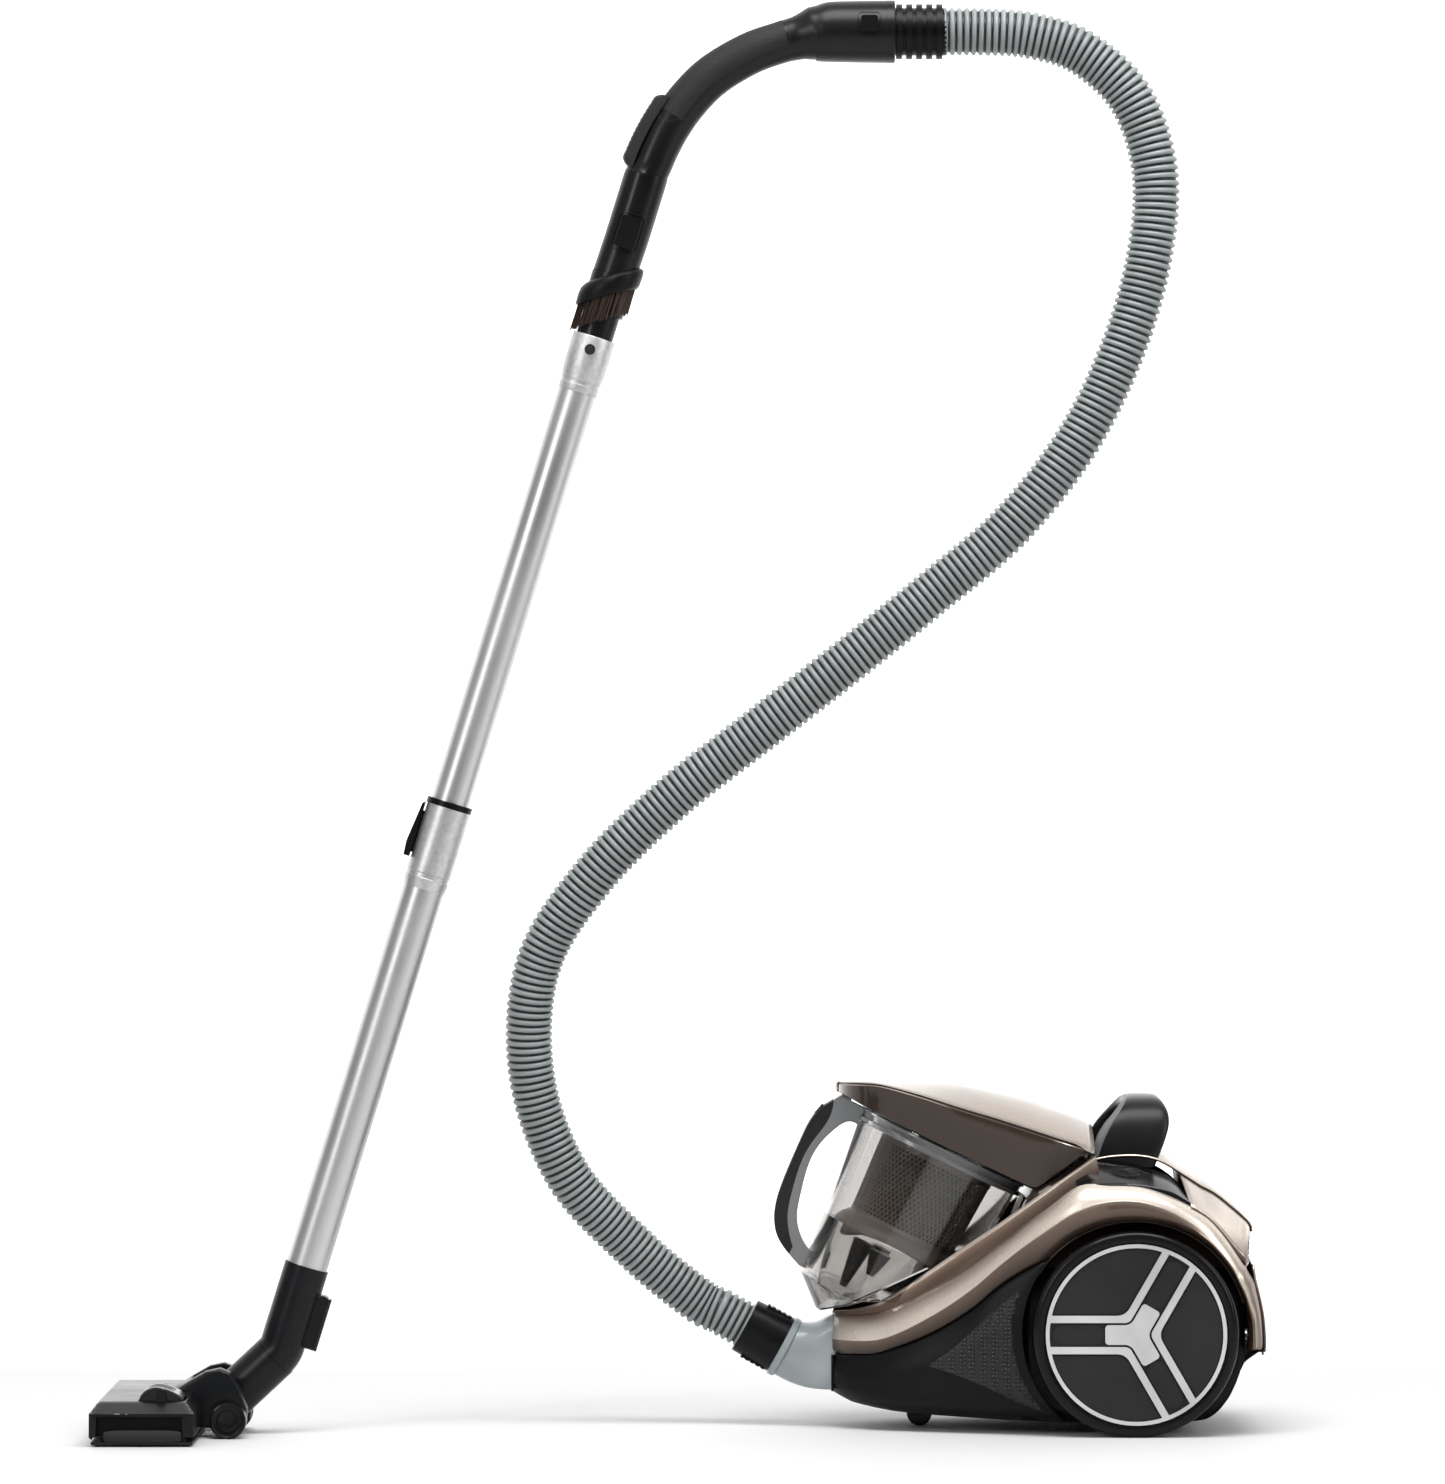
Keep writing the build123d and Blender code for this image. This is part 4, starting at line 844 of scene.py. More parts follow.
def shroud():
    """Perforated drum: every hole is open, with a dark core behind it."""
    rows, columns, sides = 17, 74, 8
    across, high = math.pi / columns, 32 / rows         # half of a cell
    verts, faces = [], []

    def on(angle, down, extra=0.0):
        return in_bin(angle, along([(14, 50), (84, 46)], down) + extra, down)

    for r in range(rows):
        for c in range(columns):
            mid = (c + 0.5 * (r % 2)) * 2 * math.pi / columns
            down = 16.5 + (r + 0.5) * 64 / rows
            n = len(verts)
            corners = [2 * math.pi * (k + 0.5) / sides for k in range(sides)]
            for a in corners:
                reach = 1 / max(abs(math.cos(a)), abs(math.sin(a)))
                verts.append(on(mid + reach * math.cos(a) * across, down + reach * math.sin(a) * high))
            for a in corners:
                verts.append(on(mid + 0.74 * math.cos(a) * across, down + 0.80 * math.sin(a) * high))
            for k in range(sides):
                step = (k + 1) % sides
                faces.append((n + k, n + step, n + sides + step, n + sides + k))
    for low, top in ((12, 16.6), (80.4, 84)):
        strip = [[on(a, d, e) for a in turn(96)] for d, e in ((low, -1), (low, 0.8), (top, 0.8), (top, -0.4))]
        verts, faces = join((verts, faces), skin(strip, closed=True))
    piece("mesh_shroud", verts, faces, SHROUD, "bin", "brown_plastic", ["mesh_shroud"], 40, shell(1.1))


def lathe(name, profile, material, slot, floor=None):
    """A piece of the bin turned about its axis from (radius, depth) points, flattened at floor."""
    rows = [[in_bin(a, radius, down) for a in turn(96)] for radius, down in profile]
    if floor:
        rows = [[Vector((p.x, p.y, max(p.z, floor))) for p in row] for row in rows]
    piece(name, *skin(rows, closed=True), material, "bin", slot, (), 35)


def dust_liner():
    """Grey tinted lower wall and floor of the bin."""
    lathe("dust_liner", [(65.5, 96), (63, 118), (60, 140), (55, 152), (40, 160), (1, 166)], TINT, "clear_bin",
          0.108)


def bin_core():
    """Dark core seen through the shroud's holes."""
    lathe("bin_core", [(10, 13), (41, 14), (39, 40), (38, 83), (12, 84)], BROWN, "brown_plastic")


def shroud_skirt():
    """Beige skirt under the shroud with a waved lower edge."""
    rows = []
    for radius, down, wave in ((46.4, 82.5, 0), (49, 84, 0), (53.5, 88, 0), (56.4, 93, 0), (57.4, 97, 0.4),
                               (57, 99, 1.0), (55.4, 100, 1.0), (54.6, 97, 0.4), (40, 92, 0)):
        row = []
        for a in turn(96):
            depth = down + wave * (5.5 * math.cos(2 * a + 0.6) - 4.5 * math.cos(a))
            row.append(in_bin(a, min(radius, 72 - max(0, depth - 90) * 0.4), depth))
        rows.append(row)
    piece("shroud_skirt", *skin(rows, closed=True), SHROUD, "bin", "brown_plastic", ["shroud_skirt"], 35)


def bin_rim():
    """Grey locking ring and the ribs of the bin's rim."""
    lathe("bin_rim", [(75.4, 1.2), (76.4, 1.6), (76.4, 3.2), (74.8, 3.6), (74.2, 7.6), (76.6, 8.4),
                      (76.6, 11.6), (74.4, 12.2), (73.2, 12.4)], SMOKE, "clear_bin")


def head(x, y, z):
    """Row point from millimetres along X, across from the wand's plane, and up."""
    return Vector((x / 1000, WAND_Y + y / 1000, z / 1000))


HEAD_EDGE = 27.4                    # height of the head's upper edge


def head_height(x, y):
    """Top of the floor head: flat chamfers round a plateau, and a rib that climbs to the neck."""
    near = [(x - HEAD_X[0]) / 6.5, (HEAD_X[1] - x) / 8, (HEAD_HALF - abs(y)) / 19]
    f = min(max(-0.08 * math.log(sum(math.exp(-v / 0.08) for v in near)), 0), 1)
    climb = min(max((x + 442) / 34, 0), 1)
    rib = 9.5 * climb * climb * (3 - 2 * climb) * math.exp(-(y / 38) ** 4)
    return HEAD_EDGE + (8.8 + rib) * f


def head_body():
    """Floor head: height-field top with a pocket for the pedal, skirts and recessed ends."""
    xs = sorted([HEAD_X[0] + 86.4 * i / 34 for i in range(35)] + [*PEDAL_X])
    ys = sorted([HEAD_HALF * math.sin(math.pi / 2 * (i / 30 - 1)) for i in range(61)] + [*PEDAL_Y])
    verts = [head(x, y, head_height(x, y)) for y in ys for x in xs]
    faces = []
    wide = len(xs)
    for j in range(len(ys) - 1):
        for i in range(wide - 1):
            x, y = (xs[i] + xs[i + 1]) / 2, (ys[j] + ys[j + 1]) / 2
            if PEDAL_X[0] < x < PEDAL_X[1] and PEDAL_Y[0] < y < PEDAL_Y[1]:
                continue
            faces.append((j * wide + i, j * wide + i + 1, (j + 1) * wide + i + 1, (j + 1) * wide + i))
    corners = [(PEDAL_X[i], PEDAL_Y[j]) for i, j in ((0, 0), (1, 0), (1, 1), (0, 1))]
    edge = []
    for (xa, ya), (xb, yb) in zip(corners, corners[1:] + corners[:1]):
        edge += [(xa + (xb - xa) * i / 12, ya + (yb - ya) * i / 12) for i in range(12)]
    pocket = [[head(x, y, head_height(x, y)) for x, y in edge], [head(x, y, 31) for x, y in edge]]
    walls = []
    for x, inward in ((HEAD_X[0], 2), (HEAD_X[1], -2)):
        levels = ((x, HEAD_EDGE), (x, HEAD_EDGE - 1), (x, 8), (x + inward, 6))
        walls.append(skin([[head(at, y, z) for y in ys] for at, z in levels]))
    ends, panels, ears = [], [], []
    for side in (-1, 1):
        x0, x1 = HEAD_X[0] + 5.5, HEAD_X[1] - 9
        inner = ((x0, 9), (x1, 9), (x1 - 0.6, 25), (x0 + 0.6, 25))
        outer = ((HEAD_X[0], 8), (HEAD_X[1], 8), (HEAD_X[1], 27.2), (HEAD_X[0], 27.2))
        ends.append(skin([[head(x, side * y, z) for x, z in pts]
                          for pts, y in ((outer, 135.2), (inner, 135.4), (inner, 131))], closed=True))
        panels.append(skin([[head(x, side * 131.2, z) for x in (x0 - 0.5, x1 + 0.5)] for z in (8, 25.6)]))
    for y in (PEDAL_Y[0] - 3.6, PEDAL_Y[1] + 0.8):
        arc = [math.pi * k / 12 for k in range(13)]
        pin_x, pin_z = PEDAL_PIN
        outline = [(pin_x + 3.4 * math.cos(a), pin_z + 3.4 * math.sin(a)) for a in arc]
        outline = [(-424.6, 34), *outline, (-435.2, 34)]
        ears.append(solid([[head(x, y + d, z) for x, z in outline] for d in (0, 2.8)]))
    piece("head_ends", *join(*panels), VOID, "head", "black_shell", (), 40)
    verts, faces = join((verts, faces), skin(pocket, closed=True, end_cap=True), *walls, *ends, *ears)
    piece("head_shell", verts, faces, NOZZLE, "head", "black_shell", ["head_body"], 22)


def brush_pedal():
    """Glossy rocker pedal with a curved crest and a ribbed tread."""
    front, rear = -448.8, -411.8
    top = [(front, 36.6), (-447, 41), (-442, 45.4), (-435, 47.4), (-427, 46.2), (-418, 42.6), (rear, 38.4)]
    line = smooth_line([(x, 0, z) for x, z in top], 26)
    rows = []
    for j in range(25):
        y = PEDAL_Y[0] + 0.7 + (PEDAL_Y[1] - PEDAL_Y[0] - 1.4) * j / 24
        drop = 1.2 if j in (0, 24) else 0.0
        tread = 0.5 if 4 < j < 20 and j % 2 else 0.0
        crest = [head(p.x, y, p.z - drop - (tread if 6 < i < 20 else 0)) for i, p in enumerate(line)]
        rows.append([head(front + drop / 2, y, 33), *crest, head(rear - drop / 2, y, 33)])
    piece("brush_pedal", *solid(rows), GLOSS, "pedal", "black_shell", ["brush_pedal"], 24)


def head_bumpers():
    """Soft lips low on the head's ends and the feet beside them."""
    parts = []
    for side in (-1, 1):
        rows = []
        for i in range(25):
            x = HEAD_X[0] + 12 + 64 * i / 24
            shrink = 1 - 0.3 * abs(2 * i / 24 - 1) ** 8
            rows.append([head(x, side * (133.4 + 2.6 * math.cos(a) * shrink),
                              8.6 + 5.2 * math.sin(a) * shrink) for a in turn(16)])
        parts.append(solid(rows))
        for x in (HEAD_X[0] + 9, HEAD_X[1] - 9):
            foot = [[head(x + r * math.cos(a), side * 128 + r * 1.6 * math.sin(a), z)
                     for a in turn(20)] for r, z in ((2.6, 7), (2.4, 2), (1.6, 0.3))]
            parts.append(skin(foot, closed=True, end_cap=True))
    piece("head_bumpers", *join(*parts), SEAL, "head", "tyre", (), 40)


def neck_cover():
    """Yoke cheeks that carry the neck, with a smooth hump over the hinge."""
    side = [(-428, 37), (-412, 47), (-398, 55), (-386, 57.5), (-377, 54), (-369, 42), (-363, 24),
            (-364, 10), (-372, 6), (-400, 8), (-421, 12)]
    mid_x, mid_z = -395, 30
    parts = []
    for sign in (-1, 1):
        rows = []
        for y, grow in ((24.7, -1.2), (25.6, 0), (37, 0), (40, -1.4), (41, -4)):
            size = 1 + grow / 30
            rows.append([head(mid_x + (x - mid_x) * size, sign * y, mid_z + (z - mid_z) * size)
                         for x, z in side])
        parts.append(solid(rows))
    hump = ((-432, 36), (-422, 41.2), (-412, 46.6), (-411.8, 38))
    parts.append(skin([[head(x, 26 * (j / 6 - 1), z) for j in range(13)] for x, z in hump]))
    piece("neck_cheeks", *join(*parts), NOZZLE, "head", "black_shell", (), 28, bevel(0.8, 2))


def wheel_caps():
    """Hub rings on the floor head's wheels."""
    parts = []
    middle = Vector(joints["head_wheels_roll"]["pos_m"])
    for sign in (-1, 1):
        rows = []
        for r, y in ((14.6, 57.1), (14.9, 57.6), (13.4, 58.2), (12.6, 57.5), (9.2, 57.4), (8.8, 58.4),
                     (8.0, 58.6), (7.2, 58.2), (0.5, 58.4)):
            rows.append([middle + Vector((r / 1000 * math.cos(a), sign * y / 1000, r / 1000 * math.sin(a)))
                         for a in turn(48)])
        parts.append(skin(rows, closed=True))
    piece("head_wheel_caps", *join(*parts), NOZZLE, "head_rollers", "wheel_dark", (), 40)


def hook_rail():
    """Parking rail on the back of the elbow."""
    outline = [(-310.5, 117), (-300, 116), (-297, 114.2), (-295.8, 110.6), (-308.0, 70.6), (-320, 73)]
    rows = [[head(x, y, z) for x, z in outline] for y in (-9.5, 9.5)]
    piece("hook_rail", *solid(rows), NOZZLE, "elbow", "black_shell", (), 30, bevel(1.4, 3))


# Stations of the handle: up the wand (t, u, half height, half width), then the bend ((x, z), half height,
# half width).
GRIP_LINE = [(870, 0.6, 18.3, 18.3), (900, 1.4, 18.5, 18.4), (931, 1.5, 18.5, 18.5), (951, 1.5, 18.5, 18.5),
             (958.5, 1.5, 18.4, 18.4), (959.2, 1.3, 17.4, 17.2)]
GRIP_BEND = [((-26.4, 1063), 17.0, 16.6), ((-20, 1078), 17.1, 16.4), ((-10.3, 1097), 17.5, 16.2),
             ((4.7, 1118.5), 17.8, 16), ((26, 1139.5), 17.8, 16), ((56, 1157.4), 17.6, 16),
             ((82, 1166.8), 17.4, 16.2), ((96, 1170.6), 18.4, 17.6), ((104, 1172.6), 20.6, 20.0),
             ((112, 1174.6), 23.4, 22.8), ((119, 1175.6), 24.9, 24.4), ((128, 1176), 25.5, 25.2),
             ((150, 1176), 25.9, 25.8), ((174, 1176), 26.3, 26.2), ((177.4, 1176), 26.4, 26.3)]


def wand_rings(*profile):
    """Rings about the wand from (radius, height up the wand) points in millimetres."""
    return [ring(wand(t), ACROSS, -SIDE, r / 1000, r / 1000, 64) for r, t in profile]


def handle():
    """Bent handle in one skin: socket, grip and swivel housing, ending in an inward lip."""
    stations = [(wand(t, u), high, wide) for t, u, high, wide in GRIP_LINE]
    stations += [(Vector((x / 1000, WAND_Y, z / 1000)), high, wide) for (x, z), high, wide in GRIP_BEND]
    seam = len(GRIP_LINE) - 1
    line = [p for p, _, _ in stations]
    fine = []
    for i in range(len(line) - 1):
        steps = 1 if i in (seam - 1, seam) else 6
        fine += [(i, k / steps) for k in range(steps)]
    fine.append((len(line) - 2, 1.0))

    def at(i, f):
        a, b, c, d = (line[max(i - 1, 0)], line[i], line[i + 1], line[min(i + 2, len(line) - 1)])
        if i <= seam:
            return b.lerp(c, f)
        return catmull(a, b, c, d, f)

    points = [at(i, f) for i, f in fine]
    sizes = [[stations[i][k] * (1 - f) + stations[i + 1][k] * f for k in (1, 2)] for i, f in fine]
    rows = []
    for (p, _, across, up), (high, wide) in zip(frames(points), sizes):
        if p.x > 0.112:
            up, across = ABOVE, ACROSS
        elif up.x > 0 or up.z < 0:
            up = -up
        rows.append(ring(p, across, up, wide / 1000, high / 1000, 64))
    for r, x in ((25.6, 0.1781), (20.8, 0.1779), (20.6, 0.160)):
        rows.append(ring(Vector((x, WAND_Y, GRIP_Z)), ACROSS, ABOVE, r / 1000, r / 1000, 64))
    low = wand_rings((14.2, 818), (14.8, 816), (15.6, 816.4), (15.7, 836), (18.0, 836.3), (18.2, 870))
    inlay = []
    for row, (p, _, _, _) in zip(rows, frames(points)):
        if p.z > 1.103 and p.x < 0.088:
            arc = [row[k % 64] for k in range(-4, 37)]
            middle = sum(row, Vector()) / 64
            inlay.append([middle + (q - middle) * (1.018 if 0 < k < 40 else 0.99)
                          for k, q in enumerate(arc)])
    piece("grip_inlay", *skin(inlay), GRIP, "handle", "grip", ["grip_inlay"], 40)
    verts, faces = join(skin(rows, closed=True), skin(low, closed=True))
    return piece("handle", verts, faces, SATIN, "handle", "black_shell", ["handle"], 32)


def grooved(name, obj, outline, proud, material, slot, body, width):
    """A thin bead laid on the near side of obj along a closed outline in the side view, in metres."""
    line = smooth_line([Vector((x, 0, z)) for x, z in outline + outline[:1]], 140)[:-1]
    on = []
    for p in line:
        hit, where, normal, _ = obj.ray_cast(Vector((p.x, WAND_Y - 0.2, p.z)), ACROSS)
        on.append((where, normal) if hit else None)
    rows = []
    count = len(line)
    for i in range(count + 1):
        here = on[i % count]
        if here is None:
            continue
        ahead, behind = line[(i + 1) % count], line[(i - 1) % count]
        tangent = (ahead - behind).normalized()
        where, normal = here
        sideways = tangent.cross(normal).normalized()
        foot, top = sideways * (width / 2000), sideways * (width / 4000)
        sunk, rise = normal * 0.0004, normal * (proud / 1000)
        rows.append([where + foot - sunk, where + top + rise, where - top + rise, where - foot - sunk])
    piece(name, *skin(rows), material, body, slot, (), 40)


def box_outline(centre, along_axis, half_length, half_width, corner):
    """Rounded rectangle in the side view about centre, its length along along_axis; metres."""
    side = Vector((along_axis.z, 0, -along_axis.x))
    out = []
    for sx, sy, start in ((1, 1, 0), (-1, 1, 90), (-1, -1, 180), (1, -1, 270)):
        for k in range(4):
            a = math.radians(start + 30 * k)
            p = (centre + along_axis * (sx * (half_length - corner)) + side * (sy * (half_width - corner))
                 + along_axis * corner * math.cos(a) + side * corner * math.sin(a))
            out.append((p.x, p.z))
    return out


def handle_seams(obj):
    """Seams and raised edges of the grip's inlay, the wand lock's tongue and the hose catch."""
    inlay = [(-0.0215, 1.1085), (-0.0165, 1.1000), (-0.0060, 1.1010), (0.0075, 1.1035), (0.0180, 1.1130),
             (0.0330, 1.1250), (0.0560, 1.1400), (0.0780, 1.1500), (0.0880, 1.1520), (0.0900, 1.1560),
             (0.0890, 1.1800), (0.0840, 1.1815), (0.0650, 1.1770), (0.0400, 1.1665), (0.0150, 1.1500),
             (-0.0080, 1.1290)]
    grooved("inlay_seam", obj, inlay, 0.12, SEAL, "grip", "handle", 0.8)
    catch = Vector((0.1564, WAND_Y, 1.181))
    for name, outline, proud, width in (
            ("lock_frame", box_outline(wand(907, 1.5), UP, 0.0158, 0.0105, 0.0045), 0.9, 2.2),
            ("lock_tongue", box_outline(wand(941, 1.5), UP, 0.0150, 0.0046, 0.0018), 0.5, 1.3),
            ("catch_frame", box_outline(catch, ABOVE, 0.0098, 0.0092, 0.003), 0.5, 1.3)):
        grooved(name, obj, outline, proud, SATIN, "black_shell", "handle", width)


def mouth_collar():
    """Silver collar at the wand's mouth with its groove and dot button."""
    rows = wand_rings((16.1, 767), (16.6, 767.3), (16.9, 768), (16.9, 773.2), (16.3, 773.6), (16.3, 776.4),
                      (17.0, 776.8), (18.0, 786), (18.3, 792), (18.3, 814.6), (17.9, 815.6), (15.6, 815.7),
                      (15.4, 812), (15.4, 790))
    piece("mouth_collar", *skin(rows, closed=True), SATIN_STEEL, "upper_wand", "steel_tube", ["mouth_collar"],
          30)
    dot = []
    for r, out in ((4.6, 17.9), (4.5, 18.7), (3.6, 18.9), (3.2, 18.5), (2.6, 18.5), (2.2, 18.9), (0.1, 19.0)):
        dot.append([wand(804 + r * math.sin(a), r * math.cos(a), -out + 0.028 * (r * math.cos(a)) ** 2)
                    for a in turn(32)])
    piece("mouth_dot", *skin(dot, closed=True), SEAL, "upper_wand", "black_shell", (), 40)


def suction_slider():
    """Curved, ribbed thumb slider hugging the front of the grip."""
    axis = Vector(joints["suction_slide"]["axis"]).normalized()
    low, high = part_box("suction_slider")
    centre = (Vector(low) + Vector(high)) / 2
    out = Vector((-abs(axis.z), 0, abs(axis.x)))
    rows = []
    for i in range(67):
        s = i - 33
        edge = min(33.4 - abs(s), 6)
        rise = 4.4 - 5.0 * (1 - min(edge / 6, 1)) ** 2
        sag = -0.0042 * s * s * 0.55
        rib = 0.55 * (0.5 + 0.5 * math.cos(2 * math.pi * s / 4.4)) if abs(s) < 26 else 0
        row = []
        for w, h in ((-12.4, -6.8), (-12.4, 0.4), (-11.2, 2.4), (-8, 3.5 - rib), (-4, 4.1 - rib),
                     (0, 4.3 - rib), (4, 4.1 - rib), (8, 3.5 - rib), (11.2, 2.4), (12.4, 0.4), (12.4, -6.8)):
            top = h - (4.4 - rise) if h > 0 else h
            row.append(centre + axis * (s / 1000) + out * ((top + sag) / 1000) + Vector((0, w / 1000, 0)))
        rows.append(row)
    piece("suction_slider", *skin(rows, start_cap=True, end_cap=True), GRIP, "suction_control", "grip",
          ["suction_slider"], 35)


def brush_collar():
    """Collar of the dusting brush; its rims lean against the wand's axis."""
    rows = []
    for radius, t in ((18.6, 851.5), (21.2, 850.6), (22.6, 851.2), (23.6, 853.5), (23.8, 862), (23.2, 866.4),
                      (21.6, 868.4), (20.2, 869.6), (18.5, 870.2)):
        rows.append([wand(t + BRUSH_LEAN * radius * math.cos(a), radius * math.cos(a), radius * math.sin(a))
                     for a in turn(72)])
    piece("dust_brush", *skin(rows, closed=True), BLACK, "brush", "grip", ["dust_brush"], 35)


def tufts():
    """Bristle tufts of the dusting brush, standing parallel to the wand."""
    parts = []
    for k in range(34):
        a = 2 * math.pi * k / 34
        for _ in range(9):
            b = a + random.uniform(-0.075, 0.075)
            r = random.uniform(18.9, 21.3)
            u, y = r * math.cos(b), r * math.sin(b)
            top, low = 852 + BRUSH_LEAN * u, 829.5 + BRUSH_LEAN * u + random.uniform(-1.2, 1.2)
            du, dy = random.uniform(-0.5, 0.5), random.uniform(-0.5, 0.5)
            rows = [[wand(t, u + w * math.cos(c) + lean * du, y + w * math.sin(c) + lean * dy)
                     for c in (0, 2.1, 4.2)] for t, w, lean in ((top, 0.42, 0), (low, 0.28, 1))]
            parts.append(skin(rows, closed=True, end_cap=True))
    piece("bristles", *join(*parts), BRISTLE, "brush", "bristle", ["bristles"], 40)


def rounded(names, width, segments=2, angle=35):
    """Softens the sharp edges of CAD nodes that stay visible."""
    for name in names:
        mod = nodes[name].modifiers.new("round", "BEVEL")
        mod.width = width / 1000
        mod.segments = segments
        mod.limit_method = "ANGLE"
        mod.angle_limit = math.radians(angle)
        mod.harden_normals = False


INLET_MOUTH = can(INLET_AT[0], 0, INLET_AT[1])
INLET_AXIS = Vector((-math.cos(INLET_TILT), 0, math.sin(INLET_TILT)))


def inlet_socket():
    """Frosted elbow: a round mouth on the hose's axis, flaring into the nose."""
    rows = []
    neck = 0.0246
    for i in range(13):
        f = i / 12
        ease = f * f * (3 - 2 * f)
        centre = INLET_MOUTH.lerp(can(-249, 0, 63), f)
        centre.z -= 0.004 * math.sin(math.pi * f)
        normal = INLET_AXIS.lerp(Vector((-1, 0, 0)), ease).normalized()
        up = ACROSS.cross(normal)
        if up.z < 0:
            up = -up
        rows.append(ring(centre, ACROSS, up, neck + (0.030 - neck) * f, neck + (0.0325 - neck) * f, 48,
                         2 + 2.2 * f))
    rim = [ring(INLET_MOUTH + INLET_AXIS * d, ACROSS, ACROSS.cross(INLET_AXIS) * -1, r, r, 48) for r, d in
           ((0.0205, -0.012), (0.0205, 0.0012), (0.0236, 0.0022), (0.0256, 0.0012), (0.0256, -0.002),
            (neck, -0.003))]
    verts, faces = join(skin(rim, closed=True), skin([rim[-1]] + rows, closed=True))
    piece("inlet_socket", verts, faces, FROST, "chassis", "frosted", ["inlet_socket"], 40, shell(1.5))


HOSE_LINE = [(-40, 36, 150), (-98, 22, 214), (-128, 8, 300), (-122, -6, 392), (-76, -18, 466),
             (-10, -26, 532), (64, -32, 590), (136, -37, 646), (208, -40, 704), (276, -43, 762),
             (332, -45, 834), (370, -46, 912), (392, -46.5, 990), (396, -46.5, 1060), (376, -46.5, 1120),
             (336, -46.5, 1158), (292, -46.5, 1173)]


def ribbed_material():
    """Hose plastic: pale crests, dark grooves, following the mesh's own crest mark."""
    m, tree, bsdf = shader("ribbed hose")
    mark = add(tree, "ShaderNodeAttribute")
    mark.attribute_name = "crest"
    tone = ramp(tree, mark.outputs["Fac"], (0.30, (0.02, 0.021, 0.022)), (0.62, (0.25, 0.275, 0.275)))
    broad = ramp(tree, noise(tree, 22, 3.0), (0.3, 0.86), (0.7, 1.1))
    mix = add(tree, "ShaderNodeMix", data_type="RGBA", blend_type="MULTIPLY")
    put(mix, "Factor", 1.0)
    link(tone, mix, "A")
    link(broad, mix, "B")
    link(mix.outputs["Result"], bsdf, "Base Color")
    link(ramp(tree, noise(tree, 40, 2.0), (0.3, 0.34), (0.7, 0.5)), bsdf, "Roughness")
    bump(tree, bsdf, noise(tree, 1300, 2.0), 0.08, 0.0003)
    return m


HOSE_END, RIB_PITCH, HOSE_ACROSS = 0.211, 0.0061, 0.0392


def hose():
    """Ribbed hose on one smooth line from the inlet's cuff to the handle's collar."""
    points = [INLET_MOUTH + INLET_AXIS * d for d in (0.034, 0.060, 0.086)]
    points += [Vector(p) / 1000 for p in HOSE_LINE]
    points += [Vector((x, WAND_Y, GRIP_Z)) for x in (0.250, HOSE_END)]
    coarse = smooth_line(points, 400)
    length = sum((b - a).length for a, b in zip(coarse, coarse[1:]))
    ribs = round(length / RIB_PITCH)
    # One rib: place along the pitch, radius and crest mark.
    profile = [(0.0, 0.0172, 0.0), (0.14, 0.0174, 0.0), (0.26, 0.0193, 0.8), (0.42, 0.0200, 1.0),
               (0.62, 0.0200, 1.0), (0.78, 0.0193, 0.8)]
    line = smooth_line(points, ribs * 12 + 1)
    rows, marks = [], []
    steady = frames(line)
    for k in range(ribs):
        for f, radius, mark in profile:
            p, _, across, up = steady[min(round((k + f) * 12), len(line) - 1)]
            rows.append(ring(p, across, up, radius, radius, 28))
            marks += [mark] * 28
    verts, faces = skin(rows, closed=True)
    obj = piece("hose", verts, faces, ribbed_material(), "hose", "hose_grey", ["hose"], 60)
    crest = obj.data.attributes.new("crest", "FLOAT", "POINT")
    crest.data.foreach_set("value", marks)


side_band()
rear_cover()
bin_lid()
lower_shell()
side_inserts()
exhaust_grille()
control_deck()
control_buttons()
cradle()
bin_sill()
shroud()
bin_core()
dust_liner()
shroud_skirt()
bin_rim()
carry_handle()
bay_wall()
head_body()
head_bumpers()
brush_pedal()
neck_cover()
wheel_caps()
hook_rail()
brush_collar()
tufts()
grip = handle()
bpy.context.view_layer.update()
handle_seams(grip)
mouth_collar()
suction_slider()
inlet_socket()
hose()
rounded(["bin_handle", "bin_grip"], 3.2, 3)
rounded(["inlet_cuff", "swivel_collar", "elbow", "neck", "wand_lock", "hose_catch", "clamp_slider"], 0.8)
rounded(["near_wheel_tyre", "far_wheel_tyre"], 1.0)

FINISH = {
    BLACK: ["caster_fork", "inlet_cuff", "swivel_collar", "clamp_ring", "clamp_slider", "cuff_tab_upper",
            "cuff_tab_lower"],
    SATIN: ["wand_lock", "hose_catch"],
    NOZZLE: ["elbow", "neck"],
    CLEAR: ["bin_cup"],
    SMOKE: ["bin_handle"],
    BROWN: ["cyclone_cones", "lid_release"],
    TYRE: ["near_wheel_tyre", "far_wheel_tyre", "head_wheels", "caster_wheel"],
    SILVER: ["near_wheel_trim", "far_wheel_trim"],
    STEEL: ["upper_tube", "lower_tube"],
    SATIN_STEEL: ["clamp_collar"],
    METAL: ["motor_can", "chassis_axles"],
    INFILL: ["near_wheel_disc", "far_wheel_disc", "head_pins", "sole_plate"],
    FOAM: ["foam_filter"],
    PAPER: ["exhaust_filter"],
    SEAL: ["motor_mounts", "lid_seal"],
    GREY: ["impeller", "cord_drum"],
    GRIP: ["bin_grip"],
}
for finish, names in FINISH.items():
    dress(names, finish)


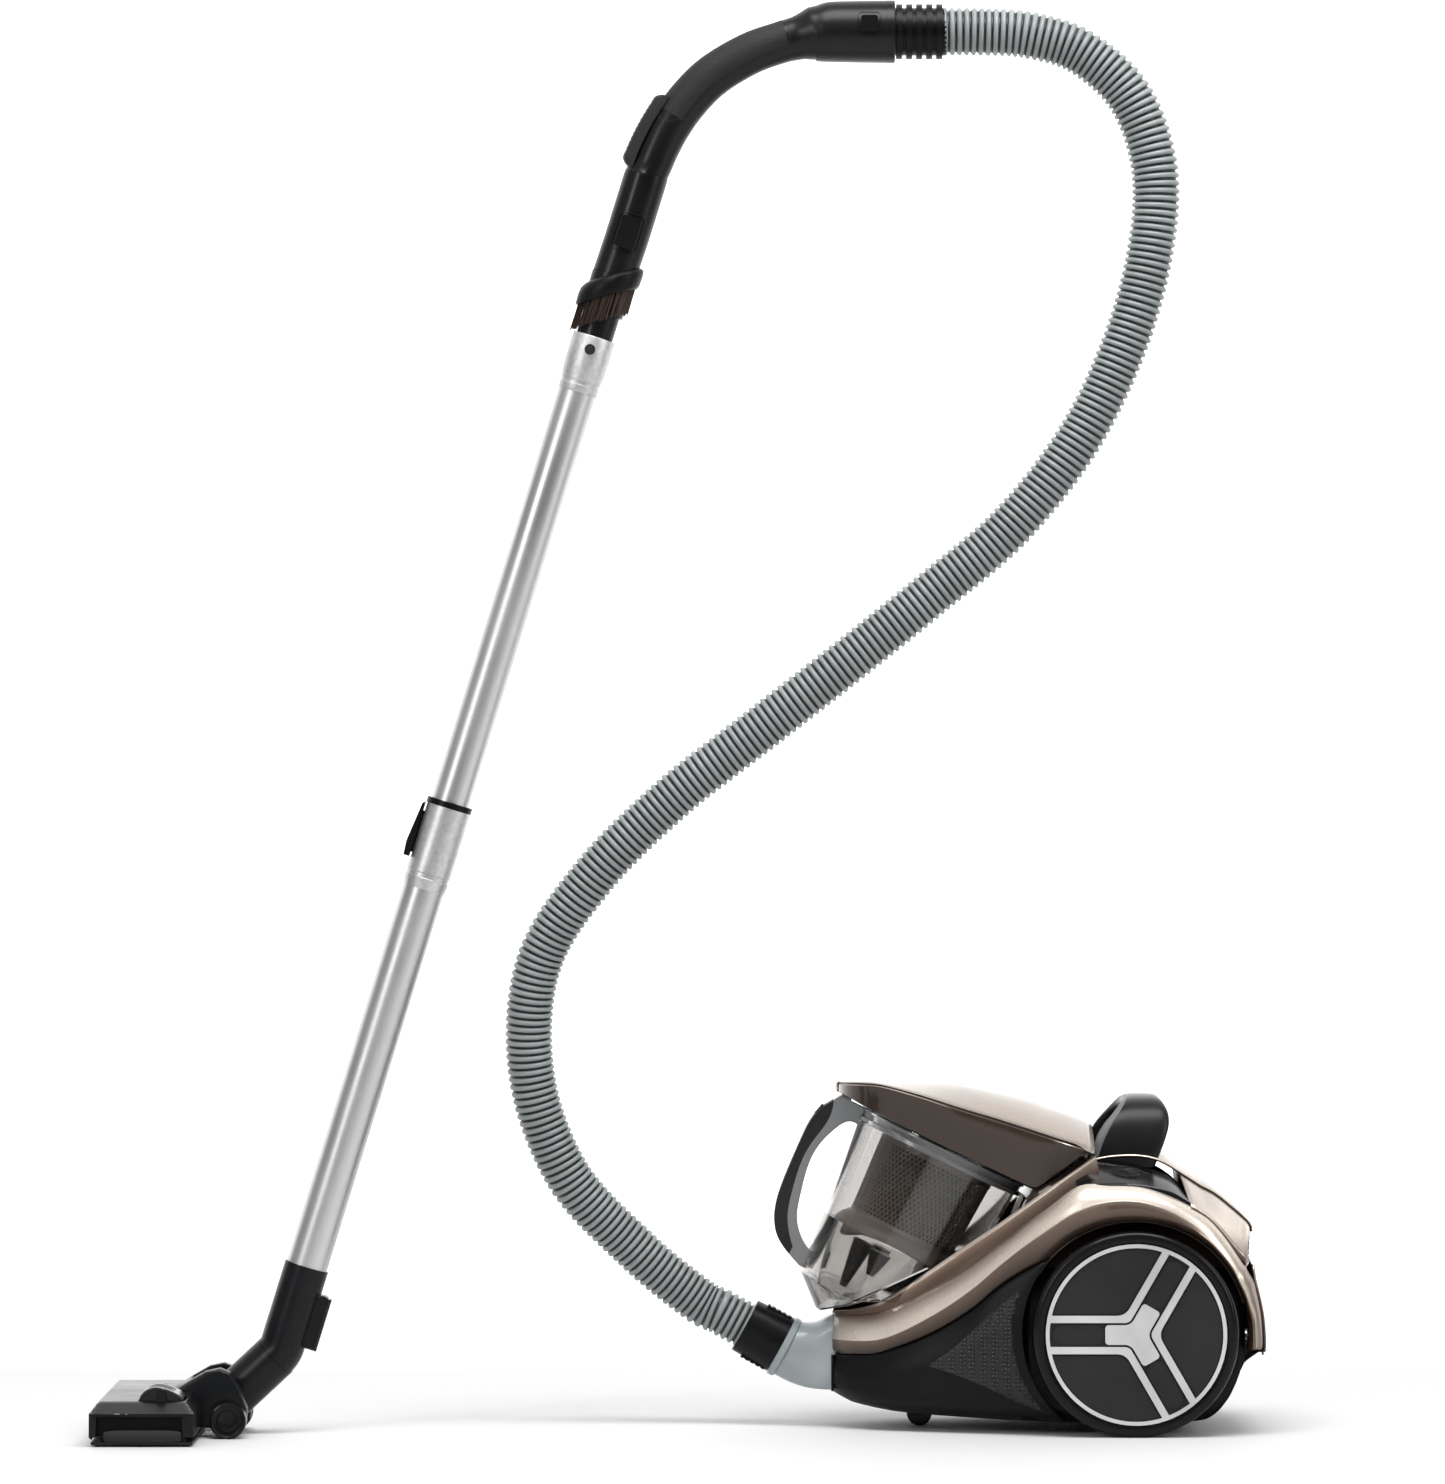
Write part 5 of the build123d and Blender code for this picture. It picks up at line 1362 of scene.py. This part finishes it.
# ------------------------------------------------------------ stage
def stage():
    size = 12.0
    rows = [[Vector((x, y, 0)) for x in (-size, size)] for y in (-4.0, 2.0)]
    for i in range(1, 13):
        a = math.pi / 2 * i / 12
        rows.append([Vector((x, 2.0 + 3.0 * math.sin(a), 3.0 - 3.0 * math.cos(a))) for x in (-size, size)])
    rows.append([Vector((x, 5.0, 12.0)) for x in (-size, size)])
    verts, faces = skin(rows)
    data = bpy.data.meshes.new("stage")
    data.from_pydata([tuple(v) for v in verts], [], faces)
    data.polygons.foreach_set("use_smooth", [True] * len(data.polygons))
    m, tree, bsdf = shader("stage white")
    put(bsdf, "Base Color", (0.66, 0.66, 0.66, 1))
    put(bsdf, "Roughness", 0.6)
    put(bsdf, "Specular IOR Level", 0.2)
    where = add(tree, "ShaderNodeTexCoord")
    split = add(tree, "ShaderNodeSeparateXYZ")
    link(where.outputs["Object"], split, "Vector")
    rise = add(tree, "ShaderNodeMapRange")
    put(rise, "From Min", 0.6)
    put(rise, "From Max", 2.6)
    link(split.outputs["Y"], rise, "Value")
    put(bsdf, "Emission Color", (1, 1, 1, 1))
    link(rise.outputs["Result"], bsdf, "Emission Strength")
    data.materials.append(m)
    floor = bpy.data.objects.new("stage", data)
    bpy.context.scene.collection.objects.link(floor)


def area(name, where, aim, size, power):
    data = bpy.data.lights.new(name, "AREA")
    data.shape = "RECTANGLE"
    data.size, data.size_y = size
    data.energy = power
    lamp = bpy.data.objects.new(name, data)
    lamp.location = where
    lamp.rotation_euler = (Vector(aim) - Vector(where)).to_track_quat("-Z", "Y").to_euler()
    bpy.context.scene.collection.objects.link(lamp)


stage()
area("top", (0.3, -0.9, 3.0), (0.15, 0, 0.3), (2.4, 1.3), 85)
area("front_left", (-2.8, -3.4, 2.0), (0, 0, 0.5), (0.7, 2.0), 42)
area("right", (3.0, -1.6, 1.5), (0.3, 0, 0.4), (0.5, 2.0), 26)

world = bpy.data.worlds.new("world")
world.use_nodes = True
sky = world.node_tree
back = sky.nodes["Background"]
coord = add(sky, "ShaderNodeTexCoord")
split = add(sky, "ShaderNodeSeparateXYZ")
link(coord.outputs["Generated"], split, "Vector")
height = add(sky, "ShaderNodeMapRange")
put(height, "From Min", -1.0)
link(split.outputs["Z"], height, "Value")
link(ramp(sky, height.outputs["Result"], (0.50, 0.10), (0.80, 0.95)), back, "Color")
put(back, "Strength", 0.6)
bpy.context.scene.world = world
bpy.context.scene.view_settings.view_transform = "Standard"

cam_data = bpy.data.cameras.new("camera")
cam_data.lens = 199.8
cam_data.clip_end = 60
cam = bpy.data.objects.new("camera", cam_data)
cam.location = (AXLE.x - 0.345, MID_Y - 7.0, 0.5802)
cam.rotation_euler = (math.pi / 2, 0, 0)
bpy.context.scene.collection.objects.link(cam)
bpy.context.scene.camera = cam
